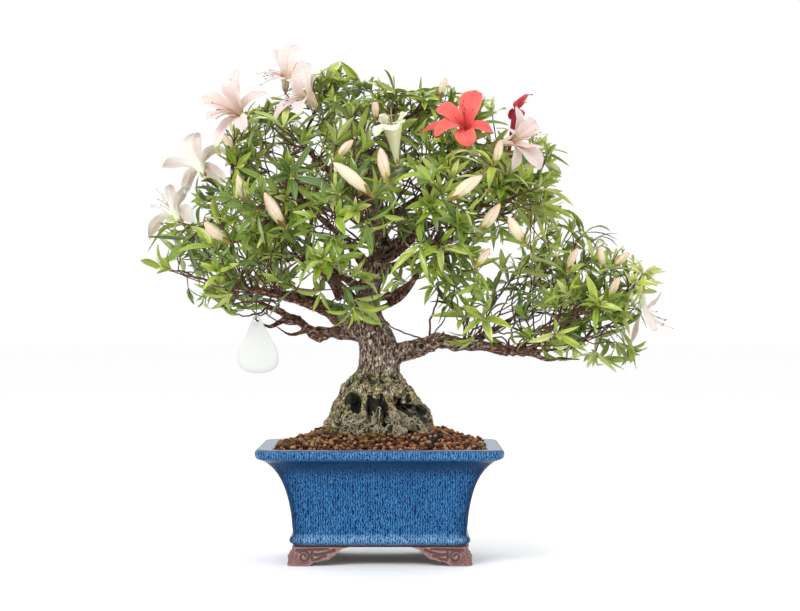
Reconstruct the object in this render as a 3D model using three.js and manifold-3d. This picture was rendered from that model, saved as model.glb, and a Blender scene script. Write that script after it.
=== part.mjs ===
// A satsuki azalea bonsai in flower, in a blue glazed pot on four unglazed feet.
// Millimetres, +Z up. The long side of the pot lies along X and its front faces -Y. The parts are laid out
// from the middle of the pot, and the whole group is then moved so that its own middle is at X = Y = 0.

import * as THREE from "three";
import { mergeVertices } from "three/addons/utils/BufferGeometryUtils.js";
import Module from "manifold-3d";

// ---------------------------------------------------------------- driving dimensions

const POT_HALF_X = 120.8;
const POT_HALF_Y = 95;
const POT_CORNER = 9;
const POT_WALL = 8;
const RIM_TOP = 114;
const RIM_WIDTH = 17.5;
const FOOT_HEIGHT = 18;
const FLOOR_TOP = 28;
// Outer wall from the underside up to the lip: how far it stands in from the rim's edge, and its height.
const POT_PROFILE = [
  [36.8, 18],
  [36.8, 20],
  [33, 23.5],
  [33, 26.5],
  [36, 29.5],
  [34.1, 51],
  [31.8, 66],
  [28, 80],
  [21.5, 92],
  [13.2, 101],
  [6.3, 105.3],
  [0.6, 106],
  [0, 112.8],
  [1.2, 114],
];
const DRAIN_X = 42;
const DRAIN_RADIUS = 10;
const SCREEN_HALF = 15;
const SCREEN_THICK = 1.2;
const SCREEN_BAR = 3;

const FOOT_BAND = 12;
const FOOT_OUT_AT_FLOOR = 30.2;
const FOOT_OUT_AT_TOP = 34.8;

// The gap between pieces that touch, the least that a leaf or twig leaves to other pieces, and the least
// between the leaves of one spray.
const CLEARANCE = 0.35;
const LEAST_GAP = 0.32;
const LEAF_GAP = 0.1;
const SCREEN_MIDDLE = FLOOR_TOP + CLEARANCE + SCREEN_THICK / 2;
const SOIL_EDGE_TOP = 112;
const SOIL_MOUND = 16;
const SOIL_GRAIN = 1.6;
const SOIL_STEPS_X = 6;
const SOIL_STEPS_Y = 4;
const SOIL_DIP = { depth: 6, x: -88, y: 62, spreadX: 30, spreadY: 26 };

const LEAF_LENGTH = [27, 43];
const LEAF_HALF_WIDTH = [3.9, 5.3];
const LEAF_KEEL = 0.7;
const LEAF_LIFT = 0.7;
const LEAF_WIDEST = 0.46;
const LEAVES_ON_SHOOT = 5;
const LEAVES_UNDER_FLOWER = 3;
const SHOOTS_ON_PAD = 3;
const TWIG_RADIUS = [1.5, 1.3];
const STEM_RADIUS = 2.4;
const SPUR_LENGTH = 5;
// How far from its limb towards the middle of its pads a stem forks.
const FORK_SHARE = 0.42;
const TRUNK_SIDES = 8;
const TRUNK_FLUTES = 0.06;
const LIMB_FLUTES = 0.12;
const THICK_LIMB = 8.5;
const WOOD_TOLERANCE = 0.15;
const SOIL_TOLERANCE = 0.1;

const LABEL_THICK = 0.8;
const LABEL_HOLE = 2.6;
const LABEL_HOLE_Y = -1.5;
const WIRE_RADIUS = 0.6;

const COLOURS = {
  glaze: 0x2f63a0,
  clay: 0x8c6460,
  soil: 0x8f4c2b,
  bark: 0x82705f,
  leaf: 0x5c9a2c,
  pale: 0xf5e3dc,
  cream: 0xf3ead2,
  coral: 0xff5555,
  crimson: 0xc0203a,
  bud: 0xe8cfa8,
  plastic: 0x2c2c2c,
  label: 0xf4f5f5,
  wire: 0x3b3532,
};

// Trunk and limbs: the line each follows and its radius at both ends. Trunk radii are given point by point.
const TRUNK = {
  points: [
    [0, 0, 98],
    [-1, 0, 122],
    [-3, 0, 142],
    [-5, 0, 160],
    [-4, 0, 177],
    [-2, 0, 191],
    [-2, 0, 206],
    [-6, 0, 222],
    [-12, 0, 240],
    [-13, 0, 258],
    [-9, 0, 279],
    [-3, 0, 298],
    [0, 0, 330],
    [-3, 0, 366],
    [-8, 0, 402],
  ],
  radii: [30, 33, 35, 33, 27, 21.5, 20, 18, 14.5, 12, 10.5, 8.8, 7, 5.4, 3.4],
};

const LIMBS = {
  right_low: {
    points: [
      [4, 0, 203],
      [22, -2, 207],
      [40, -5, 212],
      [58, -8, 219],
      [80, -10, 214],
      [105, -12, 212],
      [125, -10, 205],
      [145, -8, 203],
      [160, -5, 201],
      [172, 0, 207],
      [192, -2, 211],
    ],
    radii: [12, 3.2],
  },
  left_main: {
    points: [
      [-10, 0, 222],
      [-26, -2, 232],
      [-42, -5, 241],
      [-60, -10, 255],
      [-85, -15, 262],
      [-118, -20, 268],
      [-146, -20, 272],
    ],
    radii: [11, 2.8],
  },
  left_low: {
    points: [
      [-16, 8, 225],
      [-34, 13, 226],
      [-50, 15, 226],
      [-65, 15, 225],
      [-80, 13, 236],
      [-100, 14, 246],
      [-122, 18, 256],
    ],
    radii: [9, 2.8],
  },
  left_high: {
    points: [
      [-12, 0, 243],
      [-45, 18, 275],
      [-80, 28, 308],
      [-112, 26, 332],
      [-136, 18, 350],
    ],
    radii: [8, 2.8],
  },
  front_left: {
    points: [
      [-8, -3, 288],
      [-35, -32, 318],
      [-62, -54, 342],
      [-78, -64, 360],
    ],
    radii: [6, 2.6],
  },
  front_low: {
    points: [
      [-12, -4, 268],
      [-30, -30, 278],
      [-48, -58, 282],
      [-60, -74, 284],
    ],
    radii: [5, 2.6],
  },
  front_mid: {
    points: [
      [-3, -3, 300],
      [-8, -36, 310],
      [-14, -66, 322],
      [-18, -80, 332],
    ],
    radii: [5.5, 2.6],
  },
  front_left_low: {
    points: [
      [-22, -3, 232],
      [-48, -22, 244],
      [-78, -42, 256],
      [-108, -54, 264],
      [-126, -58, 268],
    ],
    radii: [6, 2.6],
  },
  right_red: {
    points: [
      [-8, 0, 260],
      [12, -10, 263],
      [30, -18, 274],
      [44, -26, 296],
      [54, -40, 318],
    ],
    radii: [6, 2.6],
  },
  back_right: {
    points: [
      [-4, 4, 284],
      [30, 28, 300],
      [62, 46, 316],
      [86, 56, 328],
    ],
    radii: [6, 2.6],
  },
  right_high: {
    points: [
      [0, 0, 306],
      [34, -18, 326],
      [66, -32, 340],
      [98, -40, 350],
    ],
    radii: [6, 2.6],
  },
  back_mid: {
    points: [
      [-4, 4, 298],
      [-8, 36, 316],
      [-10, 64, 332],
      [-8, 84, 348],
    ],
    radii: [5.5, 2.6],
  },
  back_left: {
    points: [
      [-12, 4, 266],
      [-42, 34, 284],
      [-70, 54, 300],
      [-92, 66, 316],
    ],
    radii: [6, 2.6],
  },
  top_right: {
    points: [
      [0, 0, 336],
      [30, 6, 356],
      [62, 8, 372],
      [92, 8, 388],
    ],
    radii: [5.5, 2.6],
  },
  top_left: {
    points: [
      [-2, 0, 348],
      [-28, 0, 372],
      [-56, 0, 392],
      [-74, 0, 408],
    ],
    radii: [5, 2.6],
  },
  right_back_low: {
    points: [
      [86, -8, 213],
      [104, 8, 222],
      [124, 24, 234],
      [142, 32, 246],
    ],
    radii: [5, 2.6],
  },
};

// Surface roots: the way each runs (degrees from +X, the front is -90), its reach and its thickness.
const ROOTS = [
  { turn: -168, reach: 52, thick: 14 },
  { turn: -132, reach: 50, thick: 15 },
  { turn: -97, reach: 43, thick: 9 },
  { turn: -68, reach: 46, thick: 11 },
  { turn: -30, reach: 52, thick: 15 },
  { turn: 12, reach: 54, thick: 12 },
  { turn: 62, reach: 48, thick: 15 },
  { turn: 112, reach: 46, thick: 14 },
  { turn: 154, reach: 50, thick: 13 },
];
const ROOTS_DEEP = 0.92;
const ROOT_FLATNESS = 0.85;
// How a root leaves the trunk and dives: share of its reach, height, share of its thickness.
const ROOT_FALL = [
  [0.2, 187, 0.6],
  [0.7, 167, 0.85],
  [0.96, 142, 1],
  [1.04, 116, 0.8],
];

// Leafy sprays: the limb and the place along it that carry each one, and the pads of foliage it spreads
// into, as centre x, y, z and half sizes x, y, z.
const SPRAYS = {
  far_left_low: { limb: "left_main", at: 1, pads: [[-200, -20, 287, 46, 38, 28]] },
  front_left_low: { limb: "front_left_low", at: 1, pads: [[-152, -66, 280, 46, 34, 28]] },
  back_left_low: { limb: "left_low", at: 1, pads: [[-155, 48, 284, 48, 40, 30]] },
  far_left: {
    limb: "left_high",
    at: 1,
    pads: [
      [-188, 0, 342, 42, 46, 34],
      [-142, 12, 402, 48, 48, 38],
    ],
  },
  front_left: {
    limb: "front_left",
    at: 1,
    pads: [
      [-124, -76, 336, 44, 34, 34],
      [-88, -72, 392, 44, 36, 34],
    ],
  },
  back_left: {
    limb: "back_left",
    at: 1,
    pads: [
      [-128, 84, 336, 46, 38, 38],
      [-72, 82, 392, 46, 40, 38],
    ],
  },
  top_left: { limb: "top_left", at: 1, pads: [[-82, 0, 444, 48, 48, 36]] },
  front_low: { limb: "front_low", at: 1, pads: [[-72, -92, 290, 42, 30, 26]] },
  front_mid: {
    limb: "front_mid",
    at: 1,
    pads: [
      [-20, -102, 334, 44, 28, 34],
      [-22, -74, 398, 44, 34, 34],
    ],
  },
  top: { limb: "trunk", at: 1, pads: [[-4, 4, 448, 48, 46, 34]] },
  back_mid: {
    limb: "back_mid",
    at: 1,
    pads: [
      [4, 108, 352, 50, 34, 42],
      [4, 74, 412, 46, 38, 36],
    ],
  },
  front_right: {
    limb: "right_red",
    at: 1,
    pads: [
      [56, -86, 344, 44, 32, 34],
      [62, -62, 290, 34, 28, 22],
    ],
  },
  top_right_front: { limb: "top_right", at: 0.55, pads: [[62, -40, 412, 44, 40, 34]] },
  top_right: { limb: "top_right", at: 1, pads: [[120, 8, 400, 44, 46, 34]] },
  right_high: { limb: "right_high", at: 1, pads: [[128, -48, 350, 40, 38, 32]] },
  back_right: { limb: "back_right", at: 1, pads: [[104, 74, 356, 48, 40, 40]] },
  lobe_left: { limb: "right_low", at: 0.42, pads: [[110, -24, 268, 36, 38, 28]] },
  lobe_front: { limb: "right_low", at: 0.66, pads: [[166, -50, 262, 42, 32, 28]] },
  lobe_back: { limb: "right_back_low", at: 1, pads: [[170, 44, 276, 42, 38, 30]] },
  lobe_top: { limb: "right_low", at: 0.8, pads: [[186, -2, 302, 44, 38, 24]] },
  lobe_tip: {
    limb: "right_low",
    at: 1,
    pads: [
      [240, -8, 270, 36, 36, 26],
      [222, -10, 224, 32, 30, 18],
    ],
  },
};

// Shoots that stand out on the crown's outline: the place of each leaf whorl.
const OUTLINE_SHOOTS = [
  [-202, -25, 336],
  [-216, -20, 290],
  [-189, -40, 316],
  [-200, 0, 300],
  [-173, -30, 266],
  [-147, -20, 253],
  [-85, -60, 270],
  [-84, -95, 376],
  [-55, -10, 473],
  [-39, 0, 480],
  [-18, 5, 474],
  [-116, -30, 444],
  [-141, -45, 388],
  [17, -10, 458],
  [40, 0, 456],
  [67, 10, 465],
  [112, 0, 444],
  [155, 0, 408],
  [153, -10, 377],
  [160, 5, 364],
  [153, -20, 346],
  [164, -25, 325],
  [193, 10, 327],
  [260, -15, 281],
  [240, -30, 237],
  [239, -20, 228],
  [214, -14, 206],
  [159, -30, 218],
  [101, -30, 241],
  [77, -24, 268],
  [220, -50, 247],
  [-24, -56, 258],
  [-47, -104, 294],
  [39, -98, 311],
];

// Blooms: the foot of the flower, the way it opens, how far its petals spread (1 is flat out), how many
// there are and how far they are rolled round.
const BLOOMS = {
  pale_left: { foot: [-128, -35, 427], way: [-11, -15, 8], open: 0.95, petals: 6, roll: 26 },
  pale_top: { foot: [-95, 0, 467], way: [2, -15, 12], open: 0.62, petals: 5, roll: 13 },
  pale_side: { foot: [-59, -35, 443], way: [-16, -6, 10], open: 0.83, petals: 5, roll: 49 },
  white_left: { foot: [-175, 0, 380], way: [-8, 11, 14], open: 0.9, petals: 5, roll: 7 },
  white_low: { foot: [-199, 12, 335], way: [-12, 12, 11], open: 0.8, petals: 5, roll: 4 },
  cream_trumpet: { foot: [17, -75, 388], way: [-2, -5, 24], open: 0.32, petals: 5, roll: 0 },
  pale_right: { foot: [111, -50, 410], way: [16, -12, 5], open: 0.87, petals: 6, roll: 6 },
  coral: { foot: [83, -45, 409], way: [-5, -12, 16], open: 0.9, petals: 6, roll: 29 },
  crimson: { foot: [128, 12, 401], way: [4, 4, 36], open: 0.5, petals: 4, roll: 0 },
  pale_far_right: { foot: [263, 12, 274], way: [4, 8, -19], open: 0.7, petals: 5, roll: 30 },
};
const BLOOM_COLOURS = { cream_trumpet: "cream", coral: "coral", crimson: "crimson" };
const BLOOM_LENGTH = 24;
const BLOOM_SPREAD = 41;
const BLOOM_THROAT = 5.5;
const PETAL_HALF_WIDTH = 6.4;
const PETAL_LIFT = 0.3;
const PETAL_KEEL = 0.7;
const STAMENS = 3;
const STAMEN_LENGTH = 46;
const STAMEN_RADIUS = 0.5;

// Buds: the foot where each sits on its twig, and its tip.
const BUDS = [
  { foot: [-144, -74, 313], tip: [-168, -89, 333] },
  { foot: [-90, -98, 327], tip: [-109, -111, 360] },
  { foot: [-128, -82, 350], tip: [-136, -89, 378] },
  { foot: [-143, -15, 405], tip: [-158, -20, 423] },
  { foot: [-7, -112, 356], tip: [-43, -132, 387] },
  { foot: [-43, -90, 392], tip: [-25, -96, 411] },
  { foot: [8, -106, 368], tip: [1, -116, 402] },
  { foot: [-5, -48, 432], tip: [-5, -50, 455] },
  { foot: [64, -108, 353], tip: [97, -124, 375] },
  { foot: [94, -90, 323], tip: [115, -98, 350] },
  { foot: [141, -85, 310], tip: [123, -95, 338] },
  { foot: [110, -82, 388], tip: [116, -96, 411] },
  { foot: [92, -80, 289], tip: [106, -88, 308] },
  { foot: [183, -45, 286], tip: [193, -50, 309] },
  { foot: [222, -15, 288], tip: [218, -20, 312] },
  { foot: [230, -22, 291], tip: [246, -28, 306] },
  { foot: [224, -44, 258], tip: [234, -50, 281] },
  { foot: [60, 2, 459], tip: [66, 0, 482] },
];
const BUD_HALF_WIDTH = 5.4;

// ---------------------------------------------------------------- solids

const wasm = await Module();
wasm.setup();

// Seeded draws, so that the tree grows the same way each time.
const DRAW_STEP = 16807;
const DRAW_RANGE = 2147483647;
function draws(seed) {
  let state = (seed * 7919 + 104729) % DRAW_RANGE;
  return (low, high) => {
    state = (state * DRAW_STEP) % DRAW_RANGE;
    return low + ((high - low) * state) / DRAW_RANGE;
  };
}

const vector = (list) => new THREE.Vector3(...list);
const padMiddle = (pad) => vector(pad.slice(0, 3));
const degrees = THREE.MathUtils.degToRad;
const mix = THREE.MathUtils.lerp;

// A manifold solid from a three.js geometry: shared corners merged, collapsed faces dropped.
function solid(geometry) {
  const bare = new THREE.BufferGeometry();
  bare.setAttribute("position", geometry.getAttribute("position"));
  bare.setIndex(geometry.getIndex());
  const merged = mergeVertices(bare, 1e-4);
  const corners = [];
  const index = merged.getIndex().array;
  for (let i = 0; i < index.length; i += 3) {
    const [a, b, c] = index.subarray(i, i + 3);
    if (a !== b && b !== c && c !== a) corners.push(a, b, c);
  }
  return new wasm.Manifold(
    new wasm.Mesh({
      numProp: 3,
      vertProperties: merged.getAttribute("position").array,
      triVerts: new Uint32Array(corners),
    }),
  );
}

// One closed body: the largest piece, with any sealed hollow filled and loose scraps dropped.
function wholeBody(pieces, tolerance = 0.02) {
  const bodies = wasm.Manifold.union(pieces).simplify(tolerance).decompose();
  return bodies.reduce((best, body) => (body.volume() > best.volume() ? body : best));
}

// A solid from its corners and its faces, each face counter-clockwise seen from outside.
function polyhedron(points, faces) {
  const geometry = new THREE.BufferGeometry().setFromPoints(points);
  const fan = ([hub, ...rim]) => rim.slice(1).map((corner, i) => [hub, rim[i], corner]);
  const triangles = faces.flatMap(fan);
  geometry.setIndex(triangles.flat());
  return solid(geometry);
}

function geometryOf(body) {
  const mesh = body.getMesh();
  const geometry = new THREE.BufferGeometry();
  geometry.setAttribute("position", new THREE.BufferAttribute(new Float32Array(mesh.vertProperties), 3));
  geometry.setIndex(new THREE.BufferAttribute(new Uint32Array(mesh.triVerts), 1));
  return geometry.toNonIndexed();
}

// A closed surface of rows of points, capped at both ends. place(row, column) gives each point, and the
// rows run clockwise seen from the far end.
function shell(rows, columns, place) {
  const geometry = new THREE.CylinderGeometry(1, 1, 1, columns, rows - 1);
  const position = geometry.getAttribute("position");
  const lines = Array.from({ length: rows }, (_, row) =>
    Array.from({ length: columns }, (_, column) => place(row, column)),
  );
  for (let i = 0; i < position.count; i++) {
    const line = lines[Math.round((0.5 - position.getY(i)) * (rows - 1))];
    const onAxis = Math.hypot(position.getX(i), position.getZ(i)) < 0.5;
    const turn = Math.atan2(position.getX(i), position.getZ(i)) / (2 * Math.PI);
    const column = Math.round((turn + 1) * columns) % columns;
    const middle = line.reduce((sum, point) => sum.add(point), new THREE.Vector3()).divideScalar(columns);
    position.setXYZ(i, ...(onAxis ? middle : line[column]).toArray());
  }
  return solid(geometry);
}

// Frames that follow a curve without twisting, at the given stations from 0 to 1.
function framesAlong(curve, stations, side) {
  const start = curve.getTangent(stations[0]);
  const other = Math.abs(start.z) > 0.8 ? new THREE.Vector3(1, 0, 0) : new THREE.Vector3(0, 0, 1);
  let across = side ? side.clone() : new THREE.Vector3().crossVectors(start, other);
  return stations.map((station) => {
    const tangent = curve.getTangent(station);
    across = across.clone().addScaledVector(tangent, -across.dot(tangent)).normalize();
    const up = new THREE.Vector3().crossVectors(tangent, across);
    return { point: curve.getPoint(station), across, up };
  });
}

// A tapering body along a curve. size(station, turn) gives the section's two half sizes and how far its
// edges are lifted.
function along(curve, stations, sides, size, side = null) {
  const frames = framesAlong(curve, stations, side);
  return shell(stations.length, sides, (row, column) => {
    const turn = (column / sides) * 2 * Math.PI;
    const [half, thick, lift = 0] = size(stations[row], turn);
    const u = Math.sin(turn);
    return frames[row].point
      .clone()
      .addScaledVector(frames[row].across, half * u)
      .addScaledVector(frames[row].up, thick * Math.cos(turn) + lift * u * u);
  });
}

const evenStations = (steps, from = 0, to = 1) =>
  Array.from({ length: steps + 1 }, (_, i) => mix(from, to, i / steps));
const lineOf = (points) => new THREE.CatmullRomCurve3(points.map(vector), false, "centripetal");
const arc = (a, b, c) => new THREE.QuadraticBezierCurve3(a, b, c);
const straight = (a, b) => new THREE.LineCurve3(a, b);

// ---------------------------------------------------------------- pot, feet and soil

// Corners of a rounded rectangle, clockwise seen from above, with extra points along its sides.
function roundedRectangle(halfX, halfY, corner, cornerSteps, stepsX = 1, stepsY = 1) {
  const points = [];
  const corners = [
    [1, 1, 90, stepsY],
    [1, -1, 0, stepsX],
    [-1, -1, -90, stepsY],
    [-1, 1, -180, stepsX],
  ];
  corners.forEach(([signX, signY, from, steps], i) => {
    for (let k = 0; k <= cornerSteps; k++) {
      const turn = degrees(from - (90 * k) / cornerSteps);
      points.push([
        signX * (halfX - corner) + corner * Math.cos(turn),
        signY * (halfY - corner) + corner * Math.sin(turn),
      ]);
    }
    const [x, y] = points.at(-1);
    const [nextX, nextY] = corners[(i + 1) % 4];
    const endX = nextX * (halfX - (steps === stepsX ? corner : 0));
    const endY = nextY * (halfY - (steps === stepsX ? 0 : corner));
    for (let k = 1; k < steps; k++) points.push([mix(x, endX, k / steps), mix(y, endY, k / steps)]);
  });
  return points;
}

const CORNER_STEPS = 3;
const potRing = (inset, ...steps) =>
  roundedRectangle(POT_HALF_X - inset, POT_HALF_Y - inset, POT_CORNER, CORNER_STEPS, ...steps);

// The inner wall from the rim down to the floor, as inset and height.
const INNER_PROFILE = [
  [RIM_WIDTH - 1, RIM_TOP],
  [RIM_WIDTH, RIM_TOP - 1],
  [RIM_WIDTH + 0.6, 104],
  ...POT_PROFILE.filter(([, z]) => z > 75 && z < 93)
    .reverse()
    .map(([inset, z]) => [inset + POT_WALL, z]),
  [36.2 + POT_WALL, FLOOR_TOP],
];

function pot() {
  const profile = [...POT_PROFILE, ...INNER_PROFILE];
  const body = shell(profile.length, potRing(0).length, (row, column) => {
    const [inset, z] = profile[row];
    const [x, y] = potRing(inset)[column];
    return new THREE.Vector3(x, y, z);
  });
  const holes = [-DRAIN_X, DRAIN_X].map((x) => {
    const hole = new THREE.CylinderGeometry(DRAIN_RADIUS, DRAIN_RADIUS, 20, 12);
    hole.rotateX(Math.PI / 2).translate(x, 0, (FOOT_HEIGHT + FLOOR_TOP) / 2);
    return solid(hole);
  });
  return body.subtract(wasm.Manifold.union(holes));
}

function drainScreen(x) {
  const bar = (lengthX, lengthY, atX, atY) =>
    solid(new THREE.BoxGeometry(lengthX, lengthY, SCREEN_THICK).translate(x + atX, atY, SCREEN_MIDDLE));
  const edge = SCREEN_HALF - SCREEN_BAR / 2;
  const lengthwise = [-edge, 0, edge].map((y) => bar(2 * SCREEN_HALF, SCREEN_BAR, 0, y));
  const crosswise = [-edge, edge].map((at) => bar(SCREEN_BAR, 2 * SCREEN_HALF, at, 0));
  return wholeBody([...lengthwise, ...crosswise]);
}

// The edge of a foot in side view, from its outer corner inwards: flat tread, notch and cloud-shaped wing.
function footOutline(edge, inner) {
  const reach = (share) => mix(edge, inner, share);
  const outline = new THREE.Shape();
  outline.moveTo(edge - 4, -1).lineTo(reach(0.36), -1).lineTo(reach(0.36), 0);
  outline.quadraticCurveTo(reach(0.43), 5.5, reach(0.55), 5);
  outline.quadraticCurveTo(reach(0.72), 5, reach(0.78), 11);
  outline.quadraticCurveTo(reach(0.86), 17, reach(1), FOOT_HEIGHT);
  outline.lineTo(reach(1), FOOT_HEIGHT + 1).lineTo(edge - 4, FOOT_HEIGHT + 1).closePath();
  return outline;
}

// The front left foot: an L-shaped band round the corner that leans out towards the ground.
function foot() {
  const band = (extra, low, high) =>
    shell(2, potRing(0).length, (row, column) => {
      const inset = (row ? FOOT_OUT_AT_TOP : FOOT_OUT_AT_FLOOR) + extra;
      const [x, y] = potRing(inset)[column];
      return new THREE.Vector3(x, y, row ? high : low);
    });
  const ring = band(0, 0, FOOT_HEIGHT).subtract(band(FOOT_BAND, -0.01, FOOT_HEIGHT + 0.01));
  const frontEdge = -(POT_HALF_X - FOOT_OUT_AT_FLOOR);
  const sideEdge = -(POT_HALF_Y - FOOT_OUT_AT_FLOOR);
  const depth = { depth: FOOT_BAND + 3, bevelEnabled: false, curveSegments: 2 };
  const front = new THREE.ExtrudeGeometry(footOutline(frontEdge, -30), depth);
  front.rotateX(Math.PI / 2).translate(0, sideEdge + FOOT_BAND, 0);
  const side = new THREE.ExtrudeGeometry(footOutline(sideEdge, -26), depth);
  side.rotateX(Math.PI / 2).rotateZ(Math.PI / 2).translate(frontEdge - 3, 0, 0);
  const wings = wasm.Manifold.union([solid(front), solid(side)]);
  return ring.intersect(wings);
}

// Height of the soil: level at the rim, mounded to the roots, a little low in the back left corner.
function soilHeight(x, y, share) {
  const rise = THREE.MathUtils.smoothstep(1 - share, 0, 0.55);
  const { depth, x: dipX, y: dipY, spreadX, spreadY } = SOIL_DIP;
  const dip = depth * Math.exp(-(((x - dipX) / spreadX) ** 2) - ((y - dipY) / spreadY) ** 2);
  return SOIL_EDGE_TOP + SOIL_MOUND * rise - dip;
}

function soil(roots) {
  const draw = draws(11);
  const inside = (inset) => potRing(inset, SOIL_STEPS_X, SOIL_STEPS_Y);
  const bottom = FLOOR_TOP + 2 * CLEARANCE + SCREEN_THICK;
  const walls = INNER_PROFILE.slice(2)
    .reverse()
    .map(([inset, z]) => [inset + CLEARANCE, Math.max(z, bottom)]);
  const shares = evenStations(4, 1, 0.28);
  const columns = inside(0).length;
  const edge = inside(walls.at(-1)[0]);
  return shell(walls.length + shares.length, columns, (row, column) => {
    if (row < walls.length) {
      const [x, y] = inside(walls[row][0])[column];
      return new THREE.Vector3(x, y, walls[row][1]);
    }
    const share = shares[row - walls.length];
    const grain = share === 1 ? 0 : draw(-SOIL_GRAIN, SOIL_GRAIN);
    const [x, y] = edge[column].map((value) => value * share);
    return new THREE.Vector3(x, y, soilHeight(x, y, share) + grain);
  }).subtract(roots);
}

// ---------------------------------------------------------------- wood

const lowered = ([x, y, z], by) => [x, y, z - by];
const trunkLine = lineOf(TRUNK.points);
const limbLines = { trunk: trunkLine };
for (const [name, { points }] of Object.entries(LIMBS)) limbLines[name] = lineOf(points);

function trunkRadius(t) {
  const place = t * (TRUNK.radii.length - 1);
  const low = Math.min(Math.floor(place), TRUNK.radii.length - 2);
  return mix(TRUNK.radii[low], TRUNK.radii[low + 1], place - low);
}

function limbRadius(name, t) {
  return name === "trunk" ? trunkRadius(t) : mix(...LIMBS[name].radii, t ** 0.7);
}

// Old wood isn't round: shallow flutes wander round it.
const fluted = (radius, t, turn, depth) => radius * (1 + depth * Math.sin(3 * turn + 11 * t));

// The trunk and its surface roots, or with extra the space that they take in the soil.
function trunkAndRoots(extra) {
  const steps = TRUNK.points.length - 1;
  const line = lineOf([lowered(TRUNK.points[0], extra), ...TRUNK.points.slice(1)]);
  const trunk = along(line, evenStations(steps), TRUNK_SIDES, (t, turn) => {
    const radius = fluted(trunkRadius(t), t, turn, TRUNK_FLUTES) + extra;
    return [radius, radius];
  });
  const roots = ROOTS.map(({ turn, reach, thick }) => {
    const [x, y] = [Math.cos(degrees(turn)), ROOTS_DEEP * Math.sin(degrees(turn))];
    const points = ROOT_FALL.map(([share, z]) => [reach * share * x, reach * share * y, z]);
    const rootLine = lineOf([...points.slice(0, -1), lowered(points.at(-1), extra)]);
    return along(rootLine, evenStations(ROOT_FALL.length - 1), 4, (t) => {
      const radius = thick * ROOT_FALL[Math.round(t * (ROOT_FALL.length - 1))][2] + extra;
      return [radius, radius * ROOT_FLATNESS];
    });
  });
  return [trunk, ...roots];
}

function limb(name) {
  const { points, radii } = LIMBS[name];
  const thick = radii[0] > THICK_LIMB;
  return along(limbLines[name], evenStations(points.length - 1), thick ? 5 : 4, (t, turn) => {
    const radius = fluted(limbRadius(name, t), t, turn, thick ? LIMB_FLUTES : 0);
    return [radius, radius];
  });
}

// The stem of a spray, from its limb towards the middle of its pads. It goes on from the end of the limb,
// or from the end of a short spur on it, a hair's breadth away.
function stemOf({ limb: name, at, pads }) {
  const line = limbLines[name];
  const start = line.getPoint(at);
  const way = line.getTangent(at);
  const target = pads.reduce((sum, pad) => sum.add(padMiddle(pad)), new THREE.Vector3());
  const fork = start.clone().lerp(target.divideScalar(pads.length), FORK_SHARE);
  const ahead = start.clone().addScaledVector(way, start.distanceTo(fork) / 2);
  const bend = at === 1 ? ahead : start.clone().lerp(fork, 0.5);
  const curve = arc(start, bend, fork);
  const spur = at === 1 ? 0 : Math.min(0.7, (limbRadius(name, at) + SPUR_LENGTH) / curve.getLength());
  return { curve, spur, from: spur + CLEARANCE / curve.getLength(), fork, radius: STEM_RADIUS };
}

function spurOf(spray) {
  const { curve, spur, radius } = stemOf(spray);
  return along(curve, [0, spur], 4, () => [radius, radius]);
}

// ---------------------------------------------------------------- blades

// A section of a blade: its left edge, its right edge and its keel.
const bladeSection = (middle, side, up, half, lift, keel) => [
  middle.clone().addScaledVector(side, -half).addScaledVector(up, lift),
  middle.clone().addScaledVector(side, half).addScaledVector(up, lift),
  middle.clone().addScaledVector(up, -keel),
];

// The faces of a leaf or petal that grows from the wall between two lower and two upper corners. Its own
// corners start at the given number: three for each section, then the tip.
function bladeFaces(lowerLeft, lowerRight, upperRight, upperLeft, first, sections) {
  const [left, right, keel] = [first, first + 1, first + 2];
  const faces = [
    [upperRight, upperLeft, left, right],
    [upperLeft, lowerLeft, keel, left],
    [lowerRight, upperRight, right, keel],
    [lowerLeft, lowerRight, keel],
  ];
  for (let i = 1; i < sections; i++) {
    const [a, b, c] = [left, right, keel].map((corner) => corner + 3 * (i - 1));
    faces.push([b, a, a + 3, b + 3], [a, c, c + 3, a + 3], [c, b, b + 3, c + 3]);
  }
  const tip = first + 3 * sections;
  return [...faces, [tip - 2, tip - 3, tip], [tip - 3, tip - 1, tip], [tip - 1, tip - 2, tip]];
}

// A blade by itself, closed at its root: lower left, lower right, upper right and upper left corner.
function bladeAlone(root, { sections, tip }) {
  const faces = bladeFaces(0, 1, 2, 3, root.length, sections.length);
  return polyhedron([...root, ...sections.flat(), tip], [[3, 2, 1, 0], ...faces]);
}

// A body of rings of corners, closed at both ends, with a blade on each side of the given wall where blades
// has one. The rings run counter-clockwise seen from the last.
function bladedBody(rings, wall, blades) {
  const sides = rings[0].length;
  const points = rings.flat();
  const corner = (row, i) => row * sides + (i % sides);
  const ends = Array.from({ length: sides }, (_, i) => i);
  const faces = [ends.map((i) => corner(0, sides - 1 - i)), ends.map((i) => corner(rings.length - 1, i))];
  for (const side of ends) {
    for (let row = 0; row < rings.length - 1; row++) {
      const [low, high] = [row, row + 1].map((level) => [corner(level, side), corner(level, side + 1)]);
      const face = [...low, ...high.reverse()];
      const blade = row === wall && blades[side];
      faces.push(...(blade ? bladeFaces(...face, points.length, blade.sections.length) : [face]));
      if (blade) points.push(...blade.sections.flat(), blade.tip);
    }
  }
  return polyhedron(points, faces);
}

// ---------------------------------------------------------------- flowers and buds

// Two directions square to a way, the first as near to straight up as it can be.
function squareTo(way) {
  const up = Math.abs(way.z) > 0.95 ? new THREE.Vector3(0, -1, 0) : new THREE.Vector3(0, 0, 1);
  const first = up.addScaledVector(way, -up.dot(way)).normalize();
  return [first, new THREE.Vector3().crossVectors(way, first)];
}

const onCircle = ([first, second], turn) =>
  first.clone().multiplyScalar(Math.cos(turn)).addScaledVector(second, Math.sin(turn));

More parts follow.
